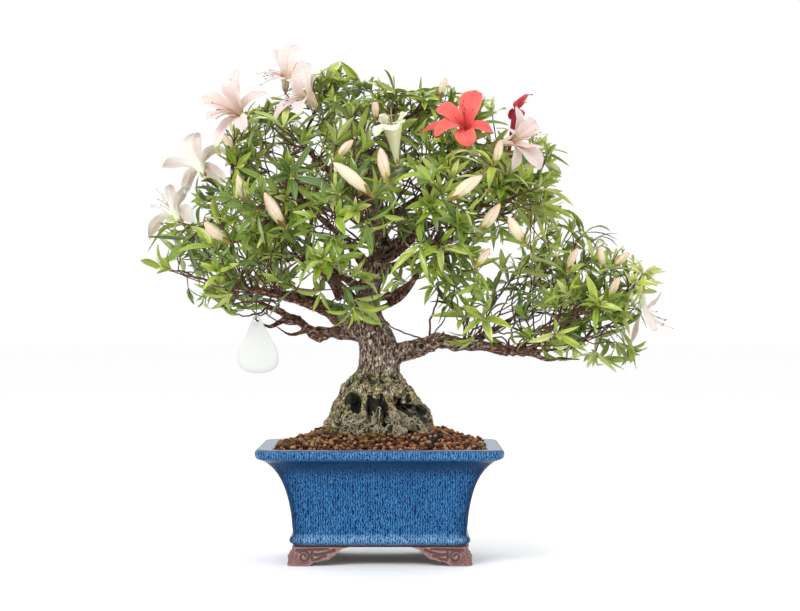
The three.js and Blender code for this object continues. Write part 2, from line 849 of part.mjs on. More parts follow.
// The funnel of a flower: how far forward each ring stands and its radius, up the outside and down into
// the throat. Its petals grow from the wall between the third ring and the fourth.
const FUNNEL = [
  [0, 1.6],
  [9, 2.9],
  [20, 5.9],
  [21.2, 5.9],
  [10, 2.2],
];
const FUNNEL_WALL = 2;
const PETAL_STATIONS = [0.3, 0.7];
const PETAL_WIDTHS = [0.86, 1];

function bloom({ foot: place, way: list, open, petals, roll }) {
  const foot = vector(place);
  const way = vector(list).normalize();
  const square = squareTo(way);
  const at = (forward, out, radial) =>
    foot.clone().addScaledVector(way, forward).addScaledVector(radial, out);
  const around = (i, count) => onCircle(square, degrees(roll) + (2 * Math.PI * i) / count);
  const indices = Array.from({ length: petals }, (_, i) => i);
  const rings = FUNNEL.map(([forward, out]) => indices.map((i) => at(forward, out, around(i, petals))));
  const blades = indices.map((i) => {
    const radial = around(i + 0.5, petals);
    const side = new THREE.Vector3().crossVectors(way, radial);
    const line = arc(
      at(20.6, 5, radial),
      at(BLOOM_LENGTH + (1 - open) * 10, BLOOM_THROAT + 6 * open, radial),
      at(BLOOM_LENGTH + (1 - open) * 26, BLOOM_SPREAD * open, radial),
    );
    const sections = PETAL_STATIONS.map((t, k) => {
      const up = new THREE.Vector3().crossVectors(line.getTangent(t), side);
      const half = PETAL_HALF_WIDTH * PETAL_WIDTHS[k];
      return bladeSection(line.getPoint(t), side, up, half, PETAL_LIFT, PETAL_KEEL);
    });
    return { sections, tip: line.getPoint(1) };
  });
  const pieces = [bladedBody(rings, FUNNEL_WALL, blades)];
  for (let i = 0; i < STAMENS; i++) {
    const radial = around(i + 0.25, STAMENS);
    const tip = at(STAMEN_LENGTH - 3 * i, 5 + 2 * i, radial);
    pieces.push(along(straight(at(9, 0.8, radial), tip), [0, 1], 3, () => [STAMEN_RADIUS, STAMEN_RADIUS]));
  }
  return wholeBody(pieces);
}

const BUD_STATIONS = [0, 0.2, 0.55, 1];
const BUD_WIDTHS = [0.3, 0.8, 1, 0];

function bud({ foot: place, tip: end }) {
  const foot = vector(place);
  const tip = vector(end);
  const plump = THREE.MathUtils.clamp(foot.distanceTo(tip) / 34, 0.72, 1.15);
  return along(straight(foot, tip), BUD_STATIONS, 5, (t) => {
    const half = BUD_HALF_WIDTH * plump * BUD_WIDTHS[BUD_STATIONS.indexOf(t)];
    return [half, half];
  });
}

// ---------------------------------------------------------------- foliage

// What has already been placed, so that a new leaf or twig is kept clear of it.
const placed = [];
function keep(name, body) {
  placed.push({ name, body, box: body.boundingBox() });
  return body;
}

function nearby(box, other) {
  return [0, 1, 2].every(
    (axis) => box.min[axis] < other.max[axis] + CLEARANCE && box.max[axis] > other.min[axis] - CLEARANCE,
  );
}

const isApart = (body, others) =>
  others
    .filter((other) => nearby(body.boundingBox(), other.boundingBox()))
    .every((other) => body.minGap(other, 1) > LEAF_GAP);

function isClear(body, own) {
  const box = body.boundingBox();
  const others = placed.filter((other) => other.name !== own && nearby(box, other.box));
  return others.every((other) => body.minGap(other.body, 1) >= LEAST_GAP);
}

// A narrow leaf beyond its base: it leaves its shoot at an angle to the way the shoot points, and its tip
// hangs a little.
const LEAF_RISE = [48, 80];
const LEAF_DROOP = [0.02, 0.24];
function leaf(base, way, radial, draw) {
  const rise = degrees(draw(...LEAF_RISE));
  const length = draw(...LEAF_LENGTH);
  const half = draw(...LEAF_HALF_WIDTH);
  const out = way.clone().multiplyScalar(Math.cos(rise)).addScaledVector(radial, Math.sin(rise));
  const up = way.clone().multiplyScalar(Math.sin(rise)).addScaledVector(radial, -Math.cos(rise));
  const side = new THREE.Vector3().crossVectors(way, radial);
  const widest = base.clone().addScaledVector(out, LEAF_WIDEST * length);
  const tip = base.clone().addScaledVector(out, length);
  tip.z -= length * draw(...LEAF_DROOP);
  return { sections: [bladeSection(widest, side, up, half, LEAF_LIFT, LEAF_KEEL)], tip };
}

// The rings of corners of a twig. It ends in a short hub, whose sides its leaves grow from, and one that
// carries a flower goes on for as much again.
const HUB_LENGTH = 1.3;
function shootRings({ line, steps, sides, turn, radii, hubs }) {
  const hubStations = evenStations(hubs, hubs, 0).map((rest) => 1 - (rest * HUB_LENGTH) / line.getLength());
  const stations = [...evenStations(steps).slice(0, -1), ...hubStations];
  const frames = framesAlong(line, [...stations].reverse(), squareTo(line.getTangent(1))[0]).reverse();
  return frames.map(({ point, across, up }, row) =>
    Array.from({ length: sides }, (_, i) => {
      const radial = onCircle([across, up], turn + (i * 2 * Math.PI) / sides);
      return point.clone().addScaledVector(radial, mix(...radii, stations[row]));
    }),
  );
}

function shootBody(design, leaves) {
  const rings = shootRings(design);
  return bladedBody(rings, rings.length - 1 - design.hubs, leaves);
}

// The leaves round the hub of a shoot, one for each of its sides. A leaf that finds no room is left out: it
// touches nothing but its own shoot.
const LEAF_SWAY = 0.16;
const LEAF_TRIES = 4;
function whorl(own, design, draw, others) {
  const rings = shootRings(design);
  const [low, high] = rings.slice(rings.length - 1 - design.hubs);
  const way = design.line.getTangent(1);
  const middle = [...low, ...high].reduce((sum, point) => sum.add(point), new THREE.Vector3());
  middle.divideScalar(2 * design.sides);
  const leaves = [];
  for (let i = 0; i < design.sides; i++) {
    const next = (i + 1) % design.sides;
    const root = [low[i], low[next], high[next], high[i]];
    const straightOut = low[i].clone().add(high[next]).divideScalar(2).sub(middle).normalize();
    let found = null;
    for (let k = 0; k < LEAF_TRIES && !found; k++) {
      const radial = straightOut.clone().applyAxisAngle(way, draw(-LEAF_SWAY, LEAF_SWAY));
      const blade = leaf(middle, way, radial, draw);
      const base = middle.clone().addScaledVector(straightOut, TWIG_RADIUS[1]);
      const pointed = bladeAlone([base, base, base, base], blade);
      if (isClear(bladeAlone(root, blade), own) && isApart(pointed, others)) found = { blade, pointed };
    }
    if (found) others.push(found.pointed);
    leaves.push(found && found.blade);
  }
  return leaves;
}

// How deep a place lies in a pad: under 1 inside it.
const depthIn = (pad, place) =>
  Math.hypot((place.x - pad[0]) / pad[3], (place.y - pad[1]) / pad[4], (place.z - pad[2]) / pad[5]);

const allPads = Object.values(SPRAYS).flatMap((spray) => spray.pads);

function nearestPad(place) {
  return allPads.reduce((best, pad) => (depthIn(pad, place) < depthIn(best, place) ? pad : best));
}

// Even directions over a pad, from its top to the upper part of its underside. Those that lie inside another
// pad or close to a shoot are passed over.
const EVEN_STEPS = [0.7548777, 0.5698403];
const PAD_COVER = 1.55;
const PAD_CORE = 0.9;
const SHOOT_SPACING = 24;
const MOST_TRIES = 60;
function padShoots(pad, count, taken) {
  const shoots = [];
  for (let i = 1; shoots.length < count && i < MOST_TRIES; i++) {
    const [first, second] = EVEN_STEPS.map((step) => (0.5 + i * step) % 1);
    const height = 1 - PAD_COVER * first;
    const turn = 2 * Math.PI * second;
    const flat = Math.sqrt(1 - height * height);
    const out = new THREE.Vector3(flat * Math.cos(turn), flat * Math.sin(turn), height);
    const at = padMiddle(pad).add(out.multiply(vector(pad.slice(3))));
    const buried = allPads.some((other) => other !== pad && depthIn(other, at) < PAD_CORE);
    const crowded = [...taken, ...shoots].some((shoot) => shoot.at.distanceTo(at) < SHOOT_SPACING);
    if (!buried && !crowded) shoots.push({ at, leaves: LEAVES_ON_SHOOT });
  }
  return shoots;
}

// The shoots of each pad: those that carry a bloom or a bud, those on the outline, then the even ones.
function shootsByPad() {
  const shoots = new Map(allPads.map((pad) => [pad, []]));
  const carry = (foot, way) => {
    const at = foot.addScaledVector(way.normalize(), -CLEARANCE);
    shoots.get(nearestPad(at)).push({ at, way, leaves: LEAVES_UNDER_FLOWER, carries: true });
  };
  for (const { foot, way } of Object.values(BLOOMS)) carry(vector(foot), vector(way));
  for (const { foot, tip } of BUDS) carry(vector(foot), vector(tip).sub(vector(foot)));
  for (const place of OUTLINE_SHOOTS) {
    const at = vector(place);
    shoots.get(nearestPad(at)).push({ at, leaves: LEAVES_ON_SHOOT });
  }
  for (const [pad, list] of shoots) {
    const missing = Math.max(1, SHOOTS_ON_PAD - list.filter((shoot) => !shoot.carries).length);
    list.push(...padShoots(pad, missing, list));
  }
  return shoots;
}

// A twig from one place to another, straight where it can be. One that carries a flower comes out along
// the flower's own way, and any twig bends round what already stands between its ends.
const BENDS = [0, 8, -8, 16, -16];
function twig(own, from, shoot, radii, turn) {
  const end = shoot.carries ? shoot.way : shoot.at.clone().sub(from).normalize();
  const square = squareTo(shoot.at.clone().sub(from).normalize());
  const last = shoot.at.clone().addScaledVector(end, -0.3 * from.distanceTo(shoot.at));
  for (const first of BENDS) {
    for (const second of BENDS) {
      const middle = from.clone().lerp(shoot.at, 0.35);
      middle.addScaledVector(square[0], first).addScaledVector(square[1], second);
      const line = new THREE.CubicBezierCurve3(from, middle, last, shoot.at);
      const steps = first || second ? 3 : shoot.carries ? 2 : 1;
      const design = { line, steps, sides: shoot.leaves, turn, radii, hubs: shoot.carries ? 2 : 1 };
      if (isClear(shootBody(design, []), own)) return design;
    }
  }
  if (shoot.carries) throw new Error(`${own}: no way to a flower at ${shoot.at.toArray()}`);
  return null;
}

// The twigs of a pad: one runs through the pad to its far end, and the rest leave it in turn.
function padTwigs(name, fork, shoots, draw) {
  const ordered = [...shoots].sort((a, b) => b.at.distanceTo(fork) - a.at.distanceTo(fork));
  const grow = (shoot, from, radii) => twig(name, from, shoot, radii, draw(0, 2 * Math.PI));
  const leaderRadii = [STEM_RADIUS, TWIG_RADIUS[1]];
  const far = ordered.find((shoot) => !shoot.carries && grow(shoot, fork, leaderRadii));
  const leader = grow(far, fork, leaderRadii);
  const rest = ordered.filter((shoot) => shoot !== far).reverse();
  const side = rest.map((shoot, i) => {
    const from = leader.line.getPoint(mix(0.12, 0.85, i / rest.length));
    return grow(shoot, from, TWIG_RADIUS);
  });
  return [leader, ...side.filter((design) => design)];
}

// A spray: its stem, the twigs of its pads and their whorls of leaves.
function spray(name, design, shoots) {
  const draw = draws(Object.values(SPRAYS).indexOf(design) + 1);
  const { curve, from, fork, radius } = stemOf(design);
  const stem = along(curve, evenStations(2, from, 1), 4, () => [radius, radius]);
  const twigs = design.pads.flatMap((pad) => padTwigs(name, fork, shoots.get(pad), draw));
  const bare = twigs.map((each) => shootBody(each, []));
  const blades = [];
  const bodies = twigs.map((each, i) => {
    const others = [stem, ...bare.filter((body, k) => k !== i), ...blades];
    const known = others.length;
    const leaves = whorl(name, each, draw, others);
    blades.push(...others.slice(known));
    return shootBody(each, leaves);
  });
  return wholeBody([stem, ...bodies]);
}
// ---------------------------------------------------------------- label

const LABEL_TOP = [-122.5, -22, 240];
function label() {
  const outline = new THREE.Shape();
  outline.moveTo(-3, 2).quadraticCurveTo(0, 5, 3, 2).lineTo(14, -18);
  outline.bezierCurveTo(26, -38, 26, -54, 2, -54).bezierCurveTo(-24, -54, -22, -36, -11, -18).closePath();
  const cut = { depth: LABEL_THICK, bevelEnabled: false, curveSegments: 4 };
  const plate = new THREE.ExtrudeGeometry(outline, cut);
  const hole = new THREE.CylinderGeometry(LABEL_HOLE, LABEL_HOLE, 3 * LABEL_THICK, 8).rotateX(Math.PI / 2);
  plate.translate(0, 0, -LABEL_THICK / 2);
  hole.translate(0, LABEL_HOLE_Y, 0);
  for (const shape of [plate, hole]) shape.rotateX(Math.PI / 2).translate(...LABEL_TOP);
  return solid(plate).subtract(solid(hole));
}

// A wire tie: over the limb, down, and hooked through the hole of the label.
function labelWire() {
  const [x, y, z] = LABEL_TOP;
  const place = limbLines.left_main.getPoint(0.85);
  const over = limbRadius("left_main", 0.85) * 1.05 + WIRE_RADIUS + CLEARANCE;
  const hookBottom = z + LABEL_HOLE_Y - LABEL_HOLE + WIRE_RADIUS + CLEARANCE;
  const points = [
    [place.x, place.y + over, place.z - 4],
    [place.x, place.y + over, place.z],
    [place.x, place.y + over * 0.7, place.z + over * 0.75],
    [place.x, place.y, place.z + over * 1.08],
    [place.x, place.y - over * 0.7, place.z + over * 0.75],
    [place.x, place.y - over, place.z],
    [(place.x + x) / 2, y - 3, (place.z + z) / 2 + 3],
    [x, y - 2.6, z + 3],
    [x, y - 2.2, z - 1],
    [x, y, hookBottom],
    [x, y + 2.2, z - 1],
    [x, y + 2.6, z + 3],
  ];
  return along(lineOf(points), evenStations(15), 3, () => [WIRE_RADIUS, WIRE_RADIUS]);
}

// ---------------------------------------------------------------- the whole bonsai

const group = new THREE.Group();

function addPiece(name, body, colour, roughness) {
  const material = new THREE.MeshStandardMaterial({ color: COLOURS[colour], roughness, metalness: 0 });
  const mesh = new THREE.Mesh(geometryOf(body), material);
  mesh.name = name;
  group.add(mesh);
  return mesh;
}

addPiece("pot", keep("pot", pot()), "glaze", 0.25);

const footBody = foot();
const FEET = {
  foot_front_left: [1, 1],
  foot_front_right: [-1, 1],
  foot_back_left: [1, -1],
  foot_back_right: [-1, -1],
};
for (const [name, [signX, signY]] of Object.entries(FEET)) {
  addPiece(name, footBody, "clay", 0.85).scale.set(signX, signY, 1);
}

addPiece("drain_screen_left", drainScreen(-DRAIN_X), "plastic", 0.6);
addPiece("drain_screen_right", drainScreen(DRAIN_X), "plastic", 0.6);

const rootSpace = wasm.Manifold.union(trunkAndRoots(CLEARANCE + 0.1));
addPiece("soil", keep("soil", wholeBody([soil(rootSpace)], SOIL_TOLERANCE)), "soil", 0.95);

const spurs = Object.values(SPRAYS)
  .filter(({ at }) => at < 1)
  .map(spurOf);
const wood = wholeBody([...trunkAndRoots(0), ...Object.keys(LIMBS).map(limb), ...spurs], WOOD_TOLERANCE);
addPiece("trunk_and_limbs", keep("trunk_and_limbs", wood), "bark", 0.9);

addPiece("label", keep("label", label()), "label", 0.4);
addPiece("label_wire", keep("label_wire", labelWire()), "wire", 0.5);

for (const [name, design] of Object.entries(BLOOMS)) {
  addPiece(`bloom_${name}`, keep(`bloom_${name}`, bloom(design)), BLOOM_COLOURS[name] ?? "pale", 0.6);
}
BUDS.forEach((design, i) => {
  const name = `bud_${String(i + 1).padStart(2, "0")}`;
  addPiece(name, keep(name, bud(design)), "bud", 0.6);
});

const shoots = shootsByPad();
for (const [name, design] of Object.entries(SPRAYS)) {
  const node = `spray_${name}`;
  addPiece(node, keep(node, spray(node, design, shoots)), "leaf", 0.5);
}

const middle = new THREE.Box3().setFromObject(group).getCenter(new THREE.Vector3());
group.position.set(-middle.x, -middle.y, 0);

export default group;
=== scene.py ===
"""A satsuki azalea bonsai in flower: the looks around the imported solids.

Limbs, twigs, buds and the solids' own leaves are read from the frame. Finer surfaces and many more leaves
are built on them. Places that this script names itself are in the pot's own millimetres: X to the right, Y
away from the viewer and Z up from the ground, with the pot's middle at X = Y = 0.
"""
import heapq
import math

import bmesh
import bpy
import numpy as np
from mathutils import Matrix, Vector, noise
from mathutils.bvhtree import BVHTree


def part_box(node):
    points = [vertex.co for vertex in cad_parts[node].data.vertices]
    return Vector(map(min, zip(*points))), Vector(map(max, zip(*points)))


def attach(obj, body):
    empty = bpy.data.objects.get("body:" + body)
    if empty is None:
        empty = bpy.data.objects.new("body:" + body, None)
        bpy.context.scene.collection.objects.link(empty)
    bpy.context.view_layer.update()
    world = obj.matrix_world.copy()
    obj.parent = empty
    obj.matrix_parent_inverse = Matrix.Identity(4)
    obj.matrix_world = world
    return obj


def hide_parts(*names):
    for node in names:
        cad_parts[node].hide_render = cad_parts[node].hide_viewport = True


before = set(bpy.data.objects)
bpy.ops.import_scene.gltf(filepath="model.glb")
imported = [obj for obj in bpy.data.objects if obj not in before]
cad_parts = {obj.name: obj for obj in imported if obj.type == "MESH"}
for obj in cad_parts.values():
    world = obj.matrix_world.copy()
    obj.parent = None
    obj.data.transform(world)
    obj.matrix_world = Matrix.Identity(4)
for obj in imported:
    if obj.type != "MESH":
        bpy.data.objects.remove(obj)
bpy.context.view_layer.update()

MM = 0.001
pot_low, pot_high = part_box("pot")
POT_MIDDLE = np.array([(pot_low.x + pot_high.x) / 2, (pot_low.y + pot_high.y) / 2, 0.0])


def at(x, y, z):
    """A place in the pot's millimetres, as a point of the frame."""
    return POT_MIDDLE + np.array([x, y, z]) * MM


# ---------------------------------------------------------------- vectors, lines and noise

CURVE_STEPS = 8
# How far apart the noise of one seed lies from the next.
SEED_STEP = 17.3


def unit(vectors):
    return vectors / np.maximum(np.linalg.norm(vectors, axis=-1, keepdims=True), 1e-12)


def dot(a, b):
    return (a * b).sum(-1, keepdims=True)


def even_turns(count):
    """That many even turns round a circle."""
    return np.arange(count) * 2 * math.pi / count


def circle(angles, first, second):
    """Ways round a circle, at these angles from the first of two square ways."""
    angles = np.asarray(angles)[..., None]
    return np.cos(angles) * first + np.sin(angles) * second


def turned(vectors, axes, angles):
    """Vectors turned round unit axes, in radians."""
    cos, sin = np.cos(angles)[..., None], np.sin(angles)[..., None]
    return vectors * cos + np.cross(axes, vectors) * sin + axes * dot(axes, vectors) * (1 - cos)


def smoothstep(values, low, high):
    share = np.clip((np.asarray(values, float) - low) / (high - low), 0, 1)
    return share * share * (3 - 2 * share)


def curve_through(points, spacing):
    """Points at even spacing along a smooth curve through the given ones."""
    points = np.asarray(points, float)
    ends = np.vstack([2 * points[0] - points[1], points, 2 * points[-1] - points[-2]])
    share = np.linspace(0, 1, CURVE_STEPS, endpoint=False)[:, None]
    pieces = []
    for a, b, c, d in zip(ends, ends[1:], ends[2:], ends[3:]):
        cubic = -a + 3 * b - 3 * c + d
        pieces.append(b + 0.5 * ((c - a) * share + (2 * a - 5 * b + 4 * c - d) * share**2 + cubic * share**3))
    fine = np.vstack([*pieces, points[-1:]])
    length = np.concatenate([[0], np.cumsum(np.linalg.norm(np.diff(fine, axis=0), axis=1))])
    stations = np.linspace(0, length[-1], max(3, int(round(length[-1] / spacing)) + 1))
    return np.stack([np.interp(stations, length, fine[:, k]) for k in range(3)], 1)


def field(points, scale, seed=0):
    """Smooth noise from about -1 to 1 at each point. Scale is in waves a metre, one or one for each axis."""
    places = np.asarray(points) * np.asarray(scale) + SEED_STEP * seed
    return np.array([noise.noise(Vector(place)) for place in places])


# ---------------------------------------------------------------- meshes

# Corners of a CAD solid's faces closer than this are one corner.
WELD = 2e-6


class Body:
    """Corners, faces and four painted values for each corner, gathered from many small forms."""

    def __init__(self):
        self.points, self.faces, self.paint, self.count = [], [], [], 0

    def add(self, points, faces, paint=(0, 0, 0, 1)):
        points = np.asarray(points, float)
        self.points.append(points)
        self.paint.append(np.broadcast_to(np.asarray(paint, float), (len(points), 4)))
        self.faces += [np.asarray(face) + self.count for face in faces]
        self.count += len(points)

    def mesh(self, name):
        sizes = np.concatenate([np.full(len(f), f.shape[1]) for f in self.faces])
        starts = np.concatenate([[0], np.cumsum(sizes)[:-1]])
        corners = np.concatenate([f.ravel() for f in self.faces])
        mesh = bpy.data.meshes.new(name)
        mesh.vertices.add(self.count)
        mesh.vertices.foreach_set("co", np.concatenate(self.points).astype(np.float32).ravel())
        mesh.loops.add(len(corners))
        mesh.loops.foreach_set("vertex_index", corners.astype(np.int32))
        mesh.polygons.add(len(sizes))
        mesh.polygons.foreach_set("loop_start", starts.astype(np.int32))
        mesh.update(calc_edges=True)
        paint_mesh(mesh, np.concatenate(self.paint))
        return mesh


def paint_mesh(mesh, values):
    """Keeps four values for each corner of a mesh, which its material reads."""
    layer = mesh.attributes.new("paint", "FLOAT_COLOR", "POINT")
    layer.data.foreach_set("color", np.asarray(values, np.float32).ravel())


def in_scene(name, data):
    thing = bpy.data.objects.new(name, data)
    bpy.context.scene.collection.objects.link(thing)
    return thing


def add_piece(mesh, look, replaced=(), crease=None):
    """A finished piece of the part: it rides on the part's only body and takes the slot's finish."""
    piece = in_scene(mesh.name, mesh)
    mesh.materials.clear()
    mesh.materials.append(look)
    mesh.polygons.foreach_set("use_smooth", np.ones(len(mesh.polygons), bool))
    if crease is not None:
        mesh.set_sharp_from_angle(angle=math.radians(crease))
    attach(piece, "root")
    if replaced:
        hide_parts(*replaced)
    return piece


def ring_faces(rows, columns, closed=True):
    """Four-sided faces between rows of corners that run round a body."""
    row = np.arange(rows - 1)[:, None] * columns
    column = np.arange(columns if closed else columns - 1)[None]
    ahead = (column + 1) % columns
    next_row = row + columns
    faces = np.stack([row + column, row + ahead, next_row + ahead, next_row + column], -1)
    return faces.reshape(-1, 4)


def sheet_faces(rows, columns, flipped=False):
    """Faces of a thin solid: a grid of corners, a second grid behind it and the hem between them."""
    count = rows * columns
    front = ring_faces(rows, columns, closed=False)
    edge = np.concatenate([np.arange(columns), (np.arange(1, rows) + 1) * columns - 1,
                           count - 2 - np.arange(columns - 1), np.arange(rows - 2, 0, -1) * columns])
    ahead = np.roll(edge, -1)
    if flipped:
        return [front[:, ::-1], front + count, np.stack([edge, ahead, ahead + count, edge + count], 1)]
    return [front, front[:, ::-1] + count, np.stack([edge, edge + count, ahead + count, ahead], 1)]


def tube(line, radii, sides):
    """Corners and faces of a closed tube along a line."""
    ways = unit(np.gradient(line, axis=0))
    first = unit(np.cross(ways[0], [0.31, 0.22, 0.93]))
    firsts = []
    for way in ways:
        first = unit(first - way * (first @ way))
        firsts.append(first)
    firsts = np.array(firsts)
    seconds = np.cross(ways, firsts)
    around = circle(even_turns(sides), firsts[:, None], seconds[:, None])
    rings = line[:, None] + np.reshape(radii, (-1, 1, 1)) * around
    ends = np.arange(sides)
    last = (len(line) - 1) * sides
    faces = [ring_faces(len(line), sides), ends[None, ::-1], last + ends[None]]
    return rings.reshape(-1, 3), faces


def icosphere(steps):
    ball = bmesh.new()
    bmesh.ops.create_icosphere(ball, subdivisions=steps, radius=1)
    points = np.array([v.co for v in ball.verts])
    faces = np.array([[v.index for v in f.verts] for f in ball.faces])
    ball.free()
    return points, faces


def corner_values(mesh, source, name):
    values = np.zeros(len(mesh.vertices) * 3, np.float32)
    source.foreach_get(name, values)
    return values.reshape(-1, 3).astype(float)


def coordinates(mesh):
    return corner_values(mesh, mesh.vertices, "co")


def normals(mesh):
    return corner_values(mesh, mesh.vertex_normals, "vector")


def set_coordinates(mesh, points):
    mesh.vertices.foreach_set("co", np.asarray(points, np.float32).ravel())
    mesh.update()


def welded(meshes, target, reach=WELD):
    """The target mesh, filled with the meshes, their corners that lie together made one."""
    joined = bmesh.new()
    for mesh in meshes:
        joined.from_mesh(mesh)
    bmesh.ops.remove_doubles(joined, verts=joined.verts, dist=reach)
    joined.to_mesh(target)
    joined.free()
    return target


def merged(name):
    """A copy of a CAD node's mesh with the corners that its faces share made one."""
    return welded([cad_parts[name].data], bpy.data.meshes.new(name + "_merged"))


def modified(name, mesh, kind, **settings):
    """A mesh with one modifier's work done on it."""
    holder = in_scene(name + "_raw", mesh)
    modifier = holder.modifiers.new(kind, kind)
    for setting, value in settings.items():
        setattr(modifier, setting, value)
    result = bpy.data.meshes.new_from_object(holder.evaluated_get(bpy.context.evaluated_depsgraph_get()))
    result.name = name
    bpy.data.objects.remove(holder)
    return result


def remeshed(name, meshes, voxel):
    """One even skin of small faces over everything that the meshes fill."""
    raw = welded(meshes, bpy.data.meshes.new(name + "_raw"))
    skin = modified(name, raw, "REMESH", mode="VOXEL", voxel_size=voxel)
    bpy.data.meshes.remove(raw)
    return skin


def cut(mesh, cutters, name):
    """The mesh with the bodies of another cut out of it."""
    tool = in_scene(name + "_cutters", cutters)
    result = modified(name, mesh, "BOOLEAN", operation="DIFFERENCE", solver="EXACT", object=tool)
    bpy.data.objects.remove(tool)
    return result


def relaxed(mesh, points, rounds):
    """Points drawn halfway to their neighbours' middle, round after round."""
    pairs = np.zeros(len(mesh.edges) * 2, np.int32)
    mesh.edges.foreach_get("vertices", pairs)
    a, b = pairs.reshape(-1, 2).T
    size = len(points)
    count = np.bincount(np.concatenate([a, b]), minlength=size)[:, None]
    for _ in range(rounds):
        sums = [np.bincount(a, row[b], size) + np.bincount(b, row[a], size) for row in points.T]
        points = points + 0.5 * (np.stack(sums, 1) / np.maximum(count, 1) - points)
    return points


def tree_of(meshes):
    """A search tree over the faces of meshes and of CAD nodes, given by name."""
    points, faces, count = [], [], 0
    for mesh in meshes:
        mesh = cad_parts[mesh].data if isinstance(mesh, str) else mesh
        points += [v.co.copy() for v in mesh.vertices]
        faces += [[count + i for i in polygon.vertices] for polygon in mesh.polygons]
        count += len(mesh.vertices)
    return BVHTree.FromPolygons(points, faces)


def gap_to(tree, place):
    """How far a place is from the tree's nearest face."""
    return tree.find_nearest(Vector(place))[3]


# ---------------------------------------------------------------- camera, stage and light

CAMERA_PLACE = at(19.6, -2100, 253)
VIEW_WIDTH = 0.8
SENSOR = 36.0
FLOOR_RADIUS, FLOOR_SIDES = 12, 96
SKY = 1.02
LAMPS = [
    {"name": "key", "place": (-900, -1500, 1500), "size": 0.9, "power": 22},
    {"name": "fill", "place": (1300, -1300, 900), "size": 1.6, "power": 5},
    {"name": "back", "place": (300, 1500, 1400), "size": 1.4, "power": 9},
]
LAMP_TARGET = (0, 0, 260)


def make_camera():
    """The viewpoint: level, straight at the front of the pot, from about two metres."""
    data = bpy.data.cameras.new("camera")
    data.sensor_width = SENSOR
    data.lens = SENSOR * (POT_MIDDLE[1] - CAMERA_PLACE[1]) / VIEW_WIDTH
    data.clip_end = 100
    camera = in_scene("camera", data)
    camera.location = CAMERA_PLACE
    camera.rotation_euler = (math.radians(90), 0, 0)
    bpy.context.scene.camera = camera


def make_stage():
    """A wide pale floor under a white sky."""
    body = Body()
    edge = FLOOR_RADIUS * circle(even_turns(FLOOR_SIDES), np.array([1, 0, 0]), np.array([0, 1, 0]))
    body.add(edge, [np.arange(FLOOR_SIDES)[None]])
    floor = in_scene("floor", body.mesh("floor"))
    floor.data.materials.append(floor_look())
    world = bpy.data.worlds.new("sky")
    world.use_nodes = True
    sky = world.node_tree.nodes["Background"].inputs
    sky["Color"].default_value = (1, 1, 1, 1)
    sky["Strength"].default_value = SKY
    bpy.context.scene.world = world
    bpy.context.scene.view_settings.view_transform = "Standard"


def make_lamps():
    target = Vector(at(*LAMP_TARGET))
    for lamp in LAMPS:
        data = bpy.data.lights.new(lamp["name"], "AREA")
        data.size = lamp["size"]
        data.energy = lamp["power"]
        light = in_scene(lamp["name"], data)
        light.location = at(*lamp["place"])
        light.rotation_euler = (target - light.location).to_track_quat("-Z", "Y").to_euler()


# ---------------------------------------------------------------- materials

# How bright a white surface that faces the lamps is in this light.
FULL_LIGHT = 1.5
# The same for thin petals, which are lit from both sides and shade each other.
PETAL_LIGHT = 1.13
# The same for white petals that are seen from the back, with the light behind them: they are painted lighter,
# as a lit copy of the pale petals.
WHITE_LIGHT = 1.03
# The same for the label, which is held up to the key light.
LABEL_LIGHT = 1.3


def rgb(red, green, blue, light=FULL_LIGHT):
    """The linear colour of a surface that shows this screen colour, from 0 to 255, in that light."""
    def linear(value):
        value /= 255
        return (value / 12.92 if value <= 0.04045 else ((value + 0.055) / 1.055) ** 2.4) / light
    return (linear(red), linear(green), linear(blue), 1.0)


